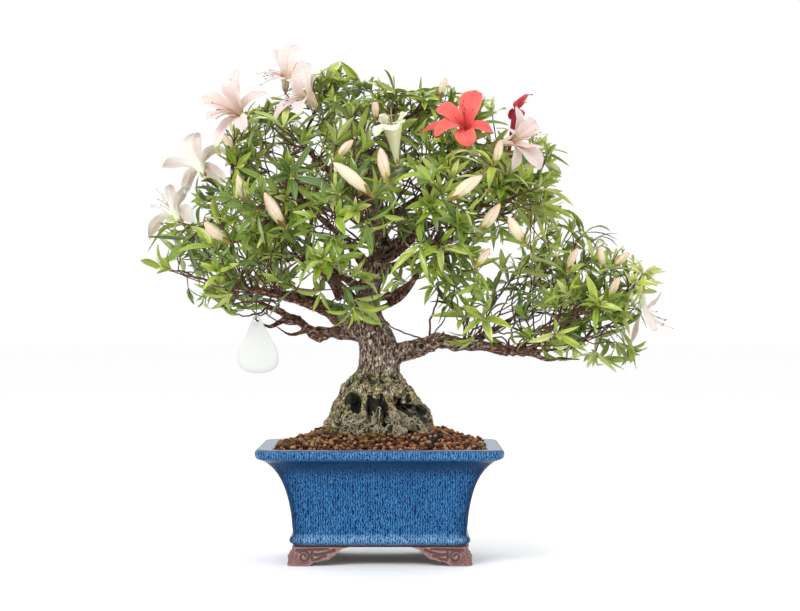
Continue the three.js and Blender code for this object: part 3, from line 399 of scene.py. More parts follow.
class Look:
    """A procedural material round one Principled shader. Its colours are screen colours in its light."""

    def __init__(self, name, light=FULL_LIGHT, **uniform):
        self.light = light
        self.material = bpy.data.materials.new(name)
        self.material.use_nodes = True
        self.nodes = self.material.node_tree.nodes
        self.links = self.material.node_tree.links
        self.shader = self.nodes["Principled BSDF"]
        for socket, value in uniform.items():
            self.shader.inputs[socket.replace("_", " ")].default_value = value

    def node(self, kind, inputs, **settings):
        node = self.nodes.new("ShaderNode" + kind)
        for setting, value in settings.items():
            setattr(node, setting, value)
        for socket, value in inputs.items():
            if isinstance(value, bpy.types.NodeSocket):
                self.links.new(value, node.inputs[socket])
            else:
                node.inputs[socket].default_value = value
        return node

    def place(self, stretch=(1, 1, 1)):
        coordinate = self.node("TexCoord", {}).outputs["Object"]
        return self.node("Mapping", {"Vector": coordinate, "Scale": stretch}).outputs[0]

    def noise(self, place, scale, detail, roughness=0.5, distortion=0.0):
        inputs = {"Vector": place, "Scale": scale, "Detail": detail, "Roughness": roughness,
                  "Distortion": distortion}
        return self.node("TexNoise", inputs).outputs["Fac"]

    def grain(self, scale, detail=3.0, roughness=0.5, distortion=0.0, stretch=(1, 1, 1)):
        """Noise all through the piece, in waves a metre."""
        return self.noise(self.place(stretch), scale, detail, roughness, distortion)

    def cells(self, place, scale, feature="F1"):
        return self.node("TexVoronoi", {"Vector": place, "Scale": scale}, feature=feature).outputs["Distance"]

    def math(self, operation, a, b=0.0):
        return self.node("Math", {0: a, 1: b}, operation=operation).outputs[0]

    def plus(self, a, b):
        return self.math("ADD", a, b)

    def times(self, value, *factors):
        for factor in factors:
            value = self.math("MULTIPLY", value, factor)
        return value

    def span(self, value, low, high, start=0.0, end=1.0):
        """The value's share of the way from low to high, clamped, as start to end."""
        return self.node("MapRange", {0: value, 1: low, 2: high, 3: start, 4: end}).outputs[0]

    def tone(self, colour):
        """A screen colour of three numbers as a linear one. Anything else stays as it is."""
        is_screen = isinstance(colour, tuple) and len(colour) == 3
        return rgb(*colour, self.light) if is_screen else colour

    def mix(self, factor, a, b):
        return self.node("Mix", {0: factor, 6: self.tone(a), 7: self.tone(b)}, data_type="RGBA").outputs[2]

    def either(self, factor, a, b):
        """The same mix for plain numbers."""
        return self.node("Mix", {0: factor, 2: a, 3: b}, data_type="FLOAT").outputs[0]

    def ramp(self, value, *stops):
        ramp = self.node("ValToRGB", {"Fac": value})
        elements = ramp.color_ramp.elements
        while len(elements) < len(stops):
            elements.new(0.5)
        for element, (position, colour) in zip(elements, stops):
            element.position = position
            element.color = self.tone(colour)
        return ramp.outputs[0]

    def paint(self):
        """The four painted values of the surface."""
        attribute = self.node("Attribute", {}, attribute_name="paint")
        parts = self.node("SeparateColor", {0: attribute.outputs["Color"]})
        return [*parts.outputs[:3], attribute.outputs["Alpha"]]

    def painted_colour(self):
        return self.node("Attribute", {}, attribute_name="paint").outputs["Color"]

    def join(self, x, y, z):
        return self.node("CombineXYZ", {0: x, 1: y, 2: z}).outputs[0]

    def finish(self, colour, roughness, height=None, depth=0.0005, strength=1.0):
        self.links.new(colour, self.shader.inputs["Base Color"])
        self.links.new(roughness, self.shader.inputs["Roughness"])
        if height is not None:
            bump = self.node("Bump", {"Height": height, "Distance": depth, "Strength": strength})
            self.links.new(bump.outputs[0], self.shader.inputs["Normal"])
        return self.material


def floor_look():
    look = Look("floor", Specular_IOR_Level=0.2)
    grain = look.grain(40)
    colour = look.mix(grain, (0.955, 0.955, 0.955, 1), (0.97, 0.97, 0.968, 1))
    return look.finish(colour, look.span(grain, 0, 1, 0.75, 0.9))


def leaf_look():
    """Glossy green: tone by leaf, which carries painted light and shade, a pale midrib, feathered veins and a
    matt, paler underside.
    """
    look = Look("leaf", Coat_Weight=0.6, Coat_Roughness=0.18, Specular_IOR_Level=0.5)
    tone, along, across, top = look.paint()
    # The tone ramp runs from deep green to pale yellow-green; its pale top end is a painted highlight on the
    # brightest leaves.
    green = look.ramp(tone, (0.0, (18, 36, 6)), (0.25, (80, 118, 12)), (0.5, (160, 194, 28)),
                      (0.76, (216, 236, 76)), (1.0, (252, 253, 160)))
    blotch = look.grain(160, 4)
    green = look.mix(look.span(blotch, 0.35, 0.75, 0, 0.35), green, (86, 118, 12))
    cool = look.span(look.grain(26, 2), 0.5, 0.64, 0, 0.34)
    green = look.mix(cool, green, (98, 142, 84))
    flow = look.plus(look.times(along, 9.0), look.times(across, -1.6))
    wave = look.math("SINE", look.times(flow, math.pi))
    veins = look.span(look.math("ABSOLUTE", wave), 0, 0.22, 1, 0)
    green = look.mix(look.times(veins, 0.22), green, (204, 226, 110))
    rib = look.span(across, 0.03, 0.12, 1, 0)
    green = look.mix(look.times(rib, 0.5), green, (214, 234, 116))
    base = look.span(along, 0.02, 0.16, 0.5, 0)
    green = look.mix(base, green, (196, 200, 110))
    under = look.mix(0.45, green, (176, 190, 100))
    colour = look.mix(top, under, green)
    roughness = look.span(top, 0, 1, 0.6, 0.36)
    relief = look.math("SUBTRACT", look.times(blotch, 0.4), look.math("MAXIMUM", veins, rib))
    return look.finish(colour, roughness, relief, 0.00025, 0.6)


def twig_look():
    """Thin shoots are red-brown, older twigs greyer, with fine lengthwise flecks."""
    look = Look("twig")
    age = look.paint()[0]
    flecks = look.grain(900, 4, 0.6, stretch=(1, 1, 0.6))
    young = look.ramp(flecks, (0.3, (72, 42, 28)), (0.7, (132, 88, 64)))
    old = look.ramp(flecks, (0.3, (50, 34, 26)), (0.7, (128, 100, 82)))
    colour = look.mix(age, young, old)
    return look.finish(colour, look.span(flecks, 0, 1, 0.6, 0.85), flecks, 0.0004)


def bark_look():
    """Grey-brown flaking bark, redder on the limbs, with pale roots, green algae and painted shade, near
    black, in hollows and crevices.
    """
    look = Look("bark")
    painted_shade, low, thin, level = look.paint()
    upright = look.grain(430, 6, 0.62, 0.5, stretch=(1, 1, 0.5))
    lengthwise = look.grain(430, 6, 0.62, 0.5, stretch=(0.4, 1, 1))
    grain = look.either(level, upright, lengthwise)
    flakes = look.cells(look.place((1, 1, 0.55)), 330, "DISTANCE_TO_EDGE")
    patches = look.grain(60, 4, 0.6)
    bark = look.ramp(grain, (0.39, (44, 26, 18)), (0.46, (142, 108, 88)), (0.54, (216, 186, 162)),
                     (0.61, (255, 248, 234)))
    bark = look.mix(look.span(flakes, 0.0, 0.1, 0.6, 0), bark, (66, 42, 30))
    bark = look.mix(look.span(patches, 0.5, 0.66, 0, 0.35), bark, (120, 92, 72))
    twiggy = look.ramp(grain, (0.39, (32, 14, 8)), (0.47, (104, 60, 42)), (0.55, (166, 114, 86)),
                       (0.63, (244, 206, 176)))
    twiggy = look.mix(look.span(patches, 0.42, 0.6, 0, 0.5), twiggy, (78, 42, 30))
    bark = look.mix(thin, bark, twiggy)
    root = look.ramp(grain, (0.38, (42, 30, 10)), (0.46, (160, 142, 88)), (0.53, (238, 226, 170)),
                     (0.6, (255, 253, 226)))
    bark = look.mix(look.times(low, look.span(patches, 0.36, 0.56)), bark, root)
    algae = look.span(look.grain(95, 5, 0.65), 0.46, 0.58)
    green = look.ramp(grain, (0.38, (36, 40, 4)), (0.62, (172, 168, 64)))
    bark = look.mix(look.times(low, algae, 0.65), bark, green)
    # Painted shade: near black with a faint green, in hollows, crevices, the knot's pit and under the mats of
    # fine roots.
    deep = look.ramp(grain, (0.46, (2, 2, 0)), (0.68, (54, 56, 18)))
    colour = look.mix(look.span(painted_shade, 0.08, 0.62, 0, 0.98), bark, deep)
    relief = look.times(grain, 0.9)
    relief = look.plus(relief, look.times(look.span(flakes, 0.0, 0.12), 0.6))
    return look.finish(colour, look.span(grain, 0.2, 0.8, 0.95, 0.7), relief, 0.0018, 1.0)


def glaze_look():
    """Blue stoneware glaze: fine dark lines that wander down the wall, paler where it is thin on edges;
    painted shade under the lip and at the corners, and a painted reflection on the rim's flat top.
    """
    look = Look("glaze", Specular_IOR_Level=0.12)
    edge, shade, bare, thin = look.paint()
    x, y, _ = look.node("SeparateXYZ", {0: look.place()}).outputs
    facing = look.node("SeparateXYZ", {0: look.node("TexCoord", {}).outputs["Normal"]}).outputs
    across, deep = look.math("ABSOLUTE", facing[0]), look.math("ABSOLUTE", facing[1])
    along = look.either(look.math("GREATER_THAN", across, deep), x, y)
    wander = look.grain(480, 2, 0.5, stretch=(1, 1, 0.7))
    phase = look.plus(look.times(along, 2600), look.times(wander, 15))
    specks = look.grain(900, 2, 0.6, stretch=(1, 1, 0.6))
    worms = look.plus(look.math("SINE", phase), look.times(specks, 1.8))
    worms = look.span(worms, -0.1, 1.85)
    broad = look.grain(30, 4, 0.6, stretch=(1, 1, 0.5))
    blue = look.ramp(worms, (0.0, (0, 12, 50)), (0.22, (4, 54, 110)), (0.5, (38, 106, 168)),
                     (1.0, (78, 150, 210)))
    blue = look.mix(look.span(broad, 0.35, 0.7, 0, 0.25), blue, (14, 72, 138))
    sky = look.ramp(worms, (0.0, (16, 70, 136)), (0.35, (84, 142, 200)), (1.0, (158, 208, 248)))
    blue = look.mix(look.times(edge, 0.8), blue, sky)
    # Painted shade under the lip, on the inner wall and at the corners.
    blue = look.mix(shade, blue, (2, 42, 82))
    # Painted reflection: the rim's flat top is painted a pale grey-blue.
    rim_reflection = look.mix(worms, (96, 112, 132), (176, 186, 196))
    blue = look.mix(look.times(thin, 0.6), blue, rim_reflection)
    colour = look.mix(bare, blue, (84, 58, 48))
    relief = look.math("SUBTRACT", look.grain(260, 2), look.times(worms, -0.3))
    return look.finish(colour, look.span(worms, 0, 1, 0.3, 0.22), relief, 0.00025, 0.5)


def clay_look():
    """Unglazed mauve-brown clay with fine grit, with a painted highlight on its raised edges and painted
    shade in its carved grooves.
    """
    look = Look("clay", Specular_IOR_Level=0.55)
    painted_shade, raised, _, _ = look.paint()
    grit = look.grain(700, 5, 0.7)
    cloud = look.grain(110, 4, 0.6)
    clay = look.ramp(grit, (0.38, (92, 52, 50)), (0.5, (138, 90, 86)), (0.62, (176, 128, 122)))
    clay = look.mix(look.span(cloud, 0.38, 0.66, 0, 0.75), clay, (104, 56, 54))
    # Painted highlight on the foot's raised edges.
    clay = look.mix(look.span(raised, 0.1, 1.0, 0, 0.75), clay, (208, 168, 164))
    # Painted shade in the carved grooves.
    colour = look.mix(look.span(painted_shade, 0.15, 0.9, 0, 0.62), clay, (52, 22, 20))
    return look.finish(colour, look.span(grit, 0.2, 0.8, 0.5, 0.66), grit, 0.0002, 0.5)


def soil_look():
    """Akadama granules: rust, tan and a few pale pebbles by grain, with painted shade, near black, towards
    their undersides.
    """
    look = Look("akadama")
    tone, kind, underside_shade, _ = look.paint()
    grit = look.grain(800, 5, 0.7)
    rust = look.ramp(tone, (0.0, (36, 14, 6)), (0.3, (140, 72, 38)), (0.6, (226, 140, 86)),
                     (0.85, (250, 186, 122)), (1.0, (255, 214, 156)))
    pebble = look.ramp(tone, (0.0, (206, 188, 160)), (1.0, (252, 246, 236)))
    colour = look.mix(kind, rust, pebble)
    colour = look.mix(look.span(grit, 0.38, 0.64, 0.7, 0), colour, (48, 20, 8))
    # Painted shade towards each granule's underside.
    colour = look.mix(underside_shade, colour, (8, 4, 1))
    return look.finish(colour, look.span(grit, 0.2, 0.8, 0.95, 0.8), grit, 0.0005, 0.8)


def mottled_look(name, dark, light, scale, roughness):
    """Two colours that run into each other in small patches, with a grain to match."""
    look = Look(name)
    patches = look.grain(scale, 5, 0.65)
    colour = look.mix(look.span(patches, 0.35, 0.65), dark, light)
    roughness = look.span(patches, 0, 1, roughness - 0.1, roughness + 0.1)
    return look.finish(colour, roughness, patches, 0.0004, 0.7)


def label_look():
    """Frosted white plastic, greyer where its cut edge is seen."""
    look = Look("label", LABEL_LIGHT, Specular_IOR_Level=0.4)
    rim = look.paint()[0]
    frost = look.grain(500, 4, 0.6)
    colour = look.mix(frost, (236, 238, 236), (243, 244, 242))
    colour = look.mix(look.times(rim, 0.7), colour, (206, 212, 212))
    return look.finish(colour, look.span(frost, 0, 1, 0.3, 0.45), frost, 0.0001, 0.3)


def moss_look():
    look = Look("moss")
    tone = look.paint()[0]
    fuzz = look.grain(700, 4, 0.7)
    colour = look.ramp(tone, (0.0, (74, 88, 26)), (0.5, (122, 136, 44)), (1.0, (176, 182, 88)))
    colour = look.mix(look.span(fuzz, 0.3, 0.7, 0.35, 0), colour, (64, 62, 24))
    return look.finish(colour, look.span(fuzz, 0, 1, 0.8, 1), fuzz, 0.0004)


def petal_look(name, light, lobe, throat, line, edge):
    """Thin silky petal: throat colour inside, a line down the middle and faint lengthwise veins."""
    look = Look(name, light, Subsurface_Weight=0.3, Subsurface_Scale=0.002, Sheen_Weight=0.05,
                Specular_IOR_Level=0.35)
    shade, along, across, spotted = look.paint()
    veins = look.noise(look.join(look.times(across, 9.0), along, shade), 2.6, 3, 0.6)
    colour = look.mix(look.times(shade, 0.3), lobe, look.mix(0.5, lobe, line))
    colour = look.mix(look.span(along, 0.3, 0.6, 1, 0), colour, throat)
    colour = look.mix(look.span(veins, 0.45, 0.65, 0, 0.55), colour, line)
    middle = look.span(across, 0.0, 0.16, 0.55, 0)
    middle = look.times(middle, look.span(along, 0.4, 0.95, 1, 0.2))
    colour = look.mix(middle, colour, line)
    colour = look.mix(look.span(across, 0.7, 1.0, 0, 0.4), colour, edge)
    freckles = look.span(look.cells(look.join(across, along, shade), 26), 0.1, 0.2, 1, 0)
    freckled = look.times(look.span(along, 0.35, 0.5), look.span(along, 0.58, 0.7, 1, 0))
    colour = look.mix(look.times(freckles, freckled, spotted, 0.6), colour, line)
    return look.finish(colour, look.span(veins, 0.2, 0.8, 0.42, 0.55), veins, 0.0006, 0.8)


def painted_look(name, roughness, grain_scale, **uniform):
    """The colour that is painted on the surface, with a fine grain."""
    look = Look(name, **uniform)
    paint = look.painted_colour()
    grain = look.grain(grain_scale, 3, 0.6)
    colour = look.mix(look.span(grain, 0.3, 0.7, 0, 0.5), paint, look.mix(0.5, paint, (70, 50, 30)))
    roughness = look.span(grain, 0, 1, roughness - 0.08, roughness + 0.1)
    return look.finish(colour, roughness, grain, 0.0002, 0.5)


def bud_look():
    """Cream and peach buds, greener at the foot and rosier at the tip."""
    look = Look("bud", PETAL_LIGHT, Subsurface_Weight=0.25, Subsurface_Scale=0.003)
    shade, along, fold, _ = look.paint()
    streaks = look.grain(420, 3, 0.6)
    colour = look.ramp(along, (0.0, (182, 184, 78)), (0.28, (222, 212, 144)),
                       (0.55, (238, 222, 194)), (1.0, (230, 190, 172)))
    colour = look.mix(look.span(streaks, 0.42, 0.65, 0, 0.3), colour, (214, 176, 136))
    # Painted shade in the creases where one petal wraps over the next.
    colour = look.mix(look.times(fold, 0.8), colour, (170, 112, 84))
    colour = look.mix(look.times(shade, 0.6), colour, (248, 234, 206))
    return look.finish(colour, look.span(streaks, 0, 1, 0.45, 0.6), streaks, 0.0002, 0.5)


# ---------------------------------------------------------------- leaves

# Where a blade's cross sections lie along it, where it is widest, and how thick it is.
LEAF_STATIONS = np.array([0, 0.07, 0.2, 0.36, 0.54, 0.72, 0.88])
LEAF_WIDEST = 0.46
LEAF_THICK = 0.3 * MM
# A blade's twist along its length and the fold at its midrib, in radians, and how much its edge waves.
LEAF_TWIST, LEAF_FOLD, LEAF_WAVE = 0.35, [0.12, 0.55], 0.09
# Round a cross section: how far out each corner lies from the midrib, and whether it looks up.
BLADE_SPREAD = np.array([1, 0, 1, 0.5, 0, 0.5])
BLADE_UPPER = np.array([0.5, 0, 0.5, 1, 1, 1])


def blade_paint(tone):
    """For every corner of the blades: tone, how far along and across it lies, and whether it looks up."""
    stations, corners = len(LEAF_STATIONS), len(BLADE_SPREAD)
    paint = np.empty((len(tone), stations * corners + 1, 4))
    paint[..., 0] = tone[..., 0]
    paint[..., 1] = np.append(np.repeat(LEAF_STATIONS, corners), 1)
    paint[..., 2] = np.append(np.tile(BLADE_SPREAD, stations), 0.5)
    paint[..., 3] = np.append(np.tile(BLADE_UPPER, stations), 0.75)
    return paint.reshape(-1, 4)


def add_leaves(body, leaves, draw):
    """Thin folded blades, each from its root, widest place, tip, side way, half width and tone."""
    root, middle, tip, side = (np.array([leaf[k] for leaf in leaves])[:, None] for k in range(4))
    half, tone = (np.array([leaf[k] for leaf in leaves])[:, None, None] for k in (4, 5))
    count, widest = len(leaves), LEAF_WIDEST
    t = LEAF_STATIONS[None, :, None]
    line = (root * (t - widest) * (t - 1) / widest + middle * t * (t - 1) / (widest * (widest - 1))
            + tip * t * (t - widest) / (1 - widest))
    way = unit(root * (2 * t - widest - 1) / widest + middle * (2 * t - 1) / (widest * (widest - 1))
               + tip * (2 * t - widest) / (1 - widest))
    across = unit(side - way * dot(side, way))
    twist = draw.normal(0, LEAF_TWIST, (count, 1)) * t[..., 0]
    across = turned(across, way, twist)
    up = np.cross(across, way)
    share = np.clip((t - 0.05) / 0.95, 0, 1)
    width = half * np.maximum(np.sin(math.pi * share**0.86) ** 0.9, 0.11)
    fold = np.tan(draw.uniform(*LEAF_FOLD, (count, 1, 1)))
    phase = 2.3 * t + draw.uniform(0, 1, (count, 1, 1))
    wave = LEAF_WAVE * half * np.sin(2 * math.pi * phase) * share
    edge_right = line + across * width + up * (width * fold + wave)
    edge_left = line - across * width + up * (width * fold - wave)
    right = line + across * width * 0.5 + up * (width * (0.5 * fold + 0.13) + 0.4 * wave)
    left = line - across * width * 0.5 + up * (width * (0.5 * fold + 0.13) - 0.4 * wave)
    under = line - up * (LEAF_THICK + 0.25 * MM * (1 - t))
    rings = np.stack([edge_right, under, edge_left, left, line, right], 2)
    points = np.concatenate([rings.reshape(count, -1, 3), tip], 1)
    stations, corners = len(LEAF_STATIONS), rings.shape[2]
    around = np.arange(corners)
    last = (stations - 1) * corners
    to_tip = np.stack([last + around, last + (around + 1) % corners, 0 * around + stations * corners], 1)
    shift = (np.arange(count) * points.shape[1])[:, None, None]
    faces = [(shift + face[None]).reshape(-1, face.shape[1])
             for face in (ring_faces(stations, corners), to_tip, around[None, ::-1])]
    body.add(points.reshape(-1, 3), faces, blade_paint(tone))


def new_leaf(base, axis, turn, rise, length, half, droop, tone):
    """A leaf on a shoot, at the angle "rise" to it, with its upper face to the shoot's tip."""
    square = unit(np.cross(axis, [0.37, 0.81, 0.45]))
    radial = turned(square, axis, np.array(turn))
    way = axis * math.cos(rise) + radial * math.sin(rise)
    up = unit(axis - way * (axis @ way))
    tip = base + way * length - up * droop * length
    middle = base + way * length * LEAF_WIDEST + up * 0.05 * length
    return [base, middle, tip, np.cross(way, up), half, tone]


# ---------------------------------------------------------------- sprays: twigs and leaves

# In a spray's solid: edges to a leaf's tip are longer than this, edges round a twig's joint are shorter
# than this, and the leaves of one shoot start this close together.
LEAF_LEAST, RING_EDGE, HUB_REACH = 8 * MM, 3.7 * MM, 4.5 * MM
# A twig's radius where it feeds one shoot, and the power of the number of shoots that it grows by.
TIP_RADIUS, PIPE_POWER = 0.62 * MM, 0.42
TWIG_STEP = 5 * MM
# How far apart shoots stand, how far they may be from the solid's own leaves, how far leaves may reach out
# of the spray's box, and the room that is kept round flowers.
WHORL_ROOM, SPRAY_REACH, SPRAY_MARGIN, FLOWER_ROOM = 8.5 * MM, 32 * MM, 8 * MM, 4.5 * MM
# Side shoots for each of the solid's own, the share of shoots that a riser is tried for, the share of risers
# with a shoot of their own, and how long risers are.
SIDE_SHOOTS, RISERS, RISER_WHORLS = 3.4, 0.52, 0.5
RISER_REACH = [28 * MM, 115 * MM]
# The share of shoots with oval leaves, in general and above a certain height.
OVAL_SHOOTS, OVAL_TOP, HIGH_SHOOTS = 0.1, 0.4, at(0, 0, 448)[2]
# The crown's outline as the viewer sees it, in the plane through the pot's middle: across and up.
CROWN_TOP = [
    [-260, 344], [-240, 346], [-200, 356], [-180, 395], [-160, 430], [-130, 458], [-100, 470], [-60, 494],
    [-40, 498], [-20, 488], [0, 482], [20, 467], [40, 468], [60, 476], [120, 463], [142, 460], [160, 428],
    [190, 428], [195, 345], [202, 332], [220, 316], [240, 312], [260, 301], [290, 298],
]
CROWN_FLOOR = [
    [-260, 282], [-218, 284], [-205, 262], [-180, 247], [-130, 242], [-100, 228], [-40, 216], [20, 222],
    [60, 205], [170, 198], [240, 182], [256, 178], [262, 208], [290, 204],
]
CROWN_RIGHT = 288
TWIG_ROOM = 4
# Where the viewer looks through the leaves at bare branches: middle and half sizes, in the same plane.
WINDOWS = [[-62, 350, 26, 22], [6, 322, 38, 13], [-82, 254, 30, 9], [-20, 268, 14, 14]]
WINDOW_BACK = POT_MIDDLE[1] + 20 * MM
WINDOW_SHADE = 0.72
# The tips and half widths of single broad leaves that stand up from the crown, in the same plane.
BROAD_LEAVES = [
    [-24, 488, 7.0], [-41, 491, 4.6], [-40, 497, 4.2], [-12, 481, 4.6], [-43, 425, 4.8], [-136, 404, 5.4],
    [-92, 435, 4.8], [70, 478, 4.6], [38, 449, 6.4], [25, 467, 5.0], [228, 306, 4.2], [186, 283, 4.4],
]
# How near its shoot a broad leaf's tip may be, how far, how far above it at least, and how long is best.
BROAD_REACH, BROAD_RISE, BROAD_BEST = [15, 36], 8, 25
ARCHING_ROOM = 15
ARCHING_LENGTH = [26, 40]
# The crown's right side is painted a little brighter, as painted light on its leaves, between these two
# places across.
SUNNY_SIDE = [at(40, 0, 0)[0], at(120, 0, 0)[0]]
ARCHING_SHOOTS = 0.55
CROWN_MIDDLE = [30, 330]
# Lengths of leaves in millimetres, and their half widths as shares of the length.
LONG_LEAF, SHORT_LEAF, YOUNG_LEAF = [19, 37], [16, 25], [11, 23]
NARROW_HALF, OVAL_HALF, YOUNG_HALF = [0.075, 0.13], [0.17, 0.22], [0.1, 0.15]
# The turn from one leaf of a shoot to the next, which spreads them evenly.
LEAF_TURN = 2.4
# How many times as many side shoots are tried as are wanted, and how long they are.
SHOOT_TRIES = 14
SHOOT_LENGTH = [11, 30]
THIN_TWIG = 0.5 * MM
# The trunk itself carries no twigs: its middle and half width across, and its top.
TRUNK_BARE = {"x": -5, "half": 24, "top": 300}
LOWEST_TWIG = 198
LEAST_FACE = 3e-6


def read_solid(name):
    """The corners of a CAD node, in an order that doesn't change, and the neighbours of each."""
    solid = bmesh.new()
    solid.from_mesh(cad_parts[name].data)
    bmesh.ops.remove_doubles(solid, verts=solid.verts, dist=WELD)
    in_order = sorted(solid.verts, key=lambda v: tuple(round(value, 5) for value in v.co))
    number = {v: k for k, v in enumerate(in_order)}
    points = np.array([v.co for v in in_order])
    beside = [sorted(number[e.other_vert(v)] for e in v.link_edges) for v in in_order]
    solid.free()
    return points, beside


def read_leaves(points, beside):
    """The leaves of a spray's solid, and all the corners of their blades."""
    leaves, blades = [], set()
    for tip, corners in enumerate(beside):
        if len(corners) != 3 or np.linalg.norm(points[corners] - points[tip], axis=1).min() < LEAF_LEAST:
            continue
        spans = [np.linalg.norm(points[corners[k - 1]] - points[corners[k - 2]]) for k in range(3)]
        keel = corners[int(np.argmax(spans))]
        left, right = [corner for corner in corners if corner != keel]
        root = sorted(set(sum((beside[corner] for corner in corners), [])) - {tip, *corners})
        middle = (points[left] + points[right]) / 2
        up = unit(middle - points[keel])
        side = unit(np.cross(points[tip] - middle, up))
        half = np.linalg.norm(points[left] - points[right]) / 2
        leaves.append([points[root].mean(0), middle, points[tip], side, half, 0.5])
        blades |= {tip, *corners}
    return leaves, blades


def read_spray(name):
    """A spray's leaves, and its twigs as joints: their places, their girths and the links between them."""
    points, beside = read_solid(name)
    leaves, blades = read_leaves(points, beside)
    joint = {}
    for start in range(len(points)):
        if start in joint or start in blades:
            continue
        joint[start] = label = len(set(joint.values()))
        stack = [start]
        while stack:
            here = stack.pop()
            for there in beside[here]:
                near = np.linalg.norm(points[here] - points[there]) < RING_EDGE
                if near and there not in joint and there not in blades:
                    joint[there] = label
                    stack.append(there)
    rings = [[] for _ in range(len(set(joint.values())))]
    links = [set() for _ in rings]
    for corner, label in joint.items():
        rings[label].append(corner)
        links[label] |= {joint[there] for there in beside[corner] if there in joint} - {label}
    places = np.array([points[ring].mean(0) for ring in rings])
    girths = [np.linalg.norm(points[ring] - place, axis=1).max() for ring, place in zip(rings, places)]
    return leaves, places, girths, links


def whorls_of(leaves):
    """Leaves grouped by the shoot that carries them: its place, the way it points and its leaves."""
    groups = []
    for leaf in leaves:
        for group in groups:
            if np.linalg.norm(group[0][0] - leaf[0]) < HUB_REACH:
                group.append(leaf)
                break
        else:
            groups.append([leaf])
    whorls = []
    for group in groups:
        ways = [unit(leaf[1] - leaf[0]) for leaf in group]
        whorls.append((np.mean([leaf[0] for leaf in group], 0), unit(np.sum(ways, 0) + 1e-9), group))
    return whorls


def routes(places, links, start, ends):
    """The shortest way back to the start from every joint, and how many ends each joint feeds."""
    best, back, queue = {start: 0.0}, {}, [(0.0, start)]
    while queue:
        far, here = heapq.heappop(queue)
        if far > best[here]:
            continue
        for there in sorted(links[here]):
            reach = far + float(np.linalg.norm(places[here] - places[there]))
            if reach < best.get(there, 1e9) - 1e-9:
                best[there], back[there] = reach, here
                heapq.heappush(queue, (reach, there))
    fed = {}
    for end in ends:
        here = end
        while here is not None:
            fed[here] = fed.get(here, 0) + 1
            here = back.get(here)
    return back, fed


def chains(start, back, fed):
    """Unforked runs of joints, each from one fork, or the start, to the next fork or end."""
    ahead = {}
    for here in sorted(fed):
        if here in back:
            ahead.setdefault(back[here], []).append(here)
    runs, open_runs = [], [[start, there] for there in ahead.get(start, [])]
    while open_runs:
        run = open_runs.pop()
        while len(ahead.get(run[-1], [])) == 1:
            run.append(ahead[run[-1]][0])
        runs.append(run)
        open_runs += [[run[-1], there] for there in ahead.get(run[-1], [])]
    return runs


def crooked(line, draw, amount):
    """A line that wanders from side to side between its ends."""
    share = np.linspace(0, 1, len(line))[:, None]
    wander = sum(draw.normal(0, 1, 3) * np.sin(math.pi * share * k) / k for k in (1, 2, 3))
    return line + amount * wander


def twig_radius(fed):
    return TIP_RADIUS * fed**PIPE_POWER


def add_twig(body, line, thin, thick, age):
    """A tapering twig, thick at its start, with a slight swelling at every bud scar."""
    share = np.linspace(0, 1, len(line))
    radii = thick + (thin - thick) * share
    radii *= 1 + 0.09 * np.sin(share * len(line) * 1.9)
    sides = 5 if thick < 1.1 * MM else 7
    points, faces = tube(line, radii, sides)
    body.add(points, faces, (age, 0, 0, 1))


def age_of(radius):
    return float(smoothstep(radius / MM, 0.9, 2.6))


def nearest(places, place):
    return int(np.linalg.norm(places - place, axis=1).argmin())


def add_branches(twigs, joints, whorls, draw, wood_tree):
    """The solid's own twigs, from the wood out to the whorls. Gives back their lines and thickness."""
    places, girths, links = joints
    gaps = [gap_to(wood_tree, place) for place in places]
    near = [k for k, gap in enumerate(gaps) if gap < min(gaps) + 2 * MM]
    start = max(near, key=lambda k: girths[k])
    back, fed = routes(places, links, start, [nearest(places, whorl[0]) for whorl in whorls])
    touch, outward, _, _ = wood_tree.find_nearest(Vector(places[start]))
    inside = np.array(touch) - 4 * MM * np.array(outward)
    thick = twig_radius(fed[start])
    add_twig(twigs, curve_through([inside, places[start]], 2 * MM), thick, thick, age_of(thick))
    lines = []
    for run in chains(start, back, fed):
        if not in_outline(places[run[-1]], TWIG_ROOM):
            continue
        line = crooked(curve_through(places[run], TWIG_STEP), draw, 0.7 * MM)
        thick, thin = twig_radius(fed[run[1]]), twig_radius(max(1, fed[run[-1]] - 0.5))
        add_twig(twigs, line, thin, thick, age_of(thick))
        lines.append((line, thick))
    return lines


def side_shoots(twigs, lines, whorls, covered, box, draw, flower_tree):
    """Shoots that branch off the twigs wherever the whorls leave room."""
    low, high = box
    shoots, taken = [], [whorl[0] for whorl in whorls]
    wanted = int(round(SIDE_SHOOTS * len(whorls)))
    for _ in range(wanted * SHOOT_TRIES):
        if len(shoots) >= wanted:
            break
        line, thick = lines[draw.integers(len(lines))]
        k = draw.integers(1, len(line))
        way = unit(line[k] - line[k - 1])
        aside = draw.normal(0, 1, 3)
        aside = unit(aside - way * (aside @ way))
        outward = unit(line[k] - (low + high) / 2)
        lean = unit(way * draw.uniform(0.2, 0.9) + aside + 0.4 * outward + [0, 0, 0.35])
        length = draw.uniform(*SHOOT_LENGTH) * MM
        end = line[k] + lean * length
        inside = np.all(end > low - SPRAY_MARGIN) and np.all(end < high + SPRAY_MARGIN)
        clear = min(np.linalg.norm(np.array(taken) - end, axis=1)) > WHORL_ROOM
        within = min(np.linalg.norm(covered - end, axis=1)) < SPRAY_REACH
        off_flowers = gap_to(flower_tree, end) >= 2 * FLOWER_ROOM
        if not (inside and clear and within and off_flowers and in_outline(end)):
            continue
        bend = line[k] + lean * length / 2 - aside * length * 0.12
        shoot = crooked(curve_through([line[k], bend, end], TWIG_STEP), draw, 0.5 * MM)
        add_twig(twigs, shoot, THIN_TWIG, min(thick, TIP_RADIUS * 1.2), 0)
        axis = unit(shoot[-1] - shoot[-2] + [0, 0, 0.2 * TWIG_STEP])
        shoots.append((shoot[-1], axis, []))
        taken.append(shoot[-1])
    return shoots


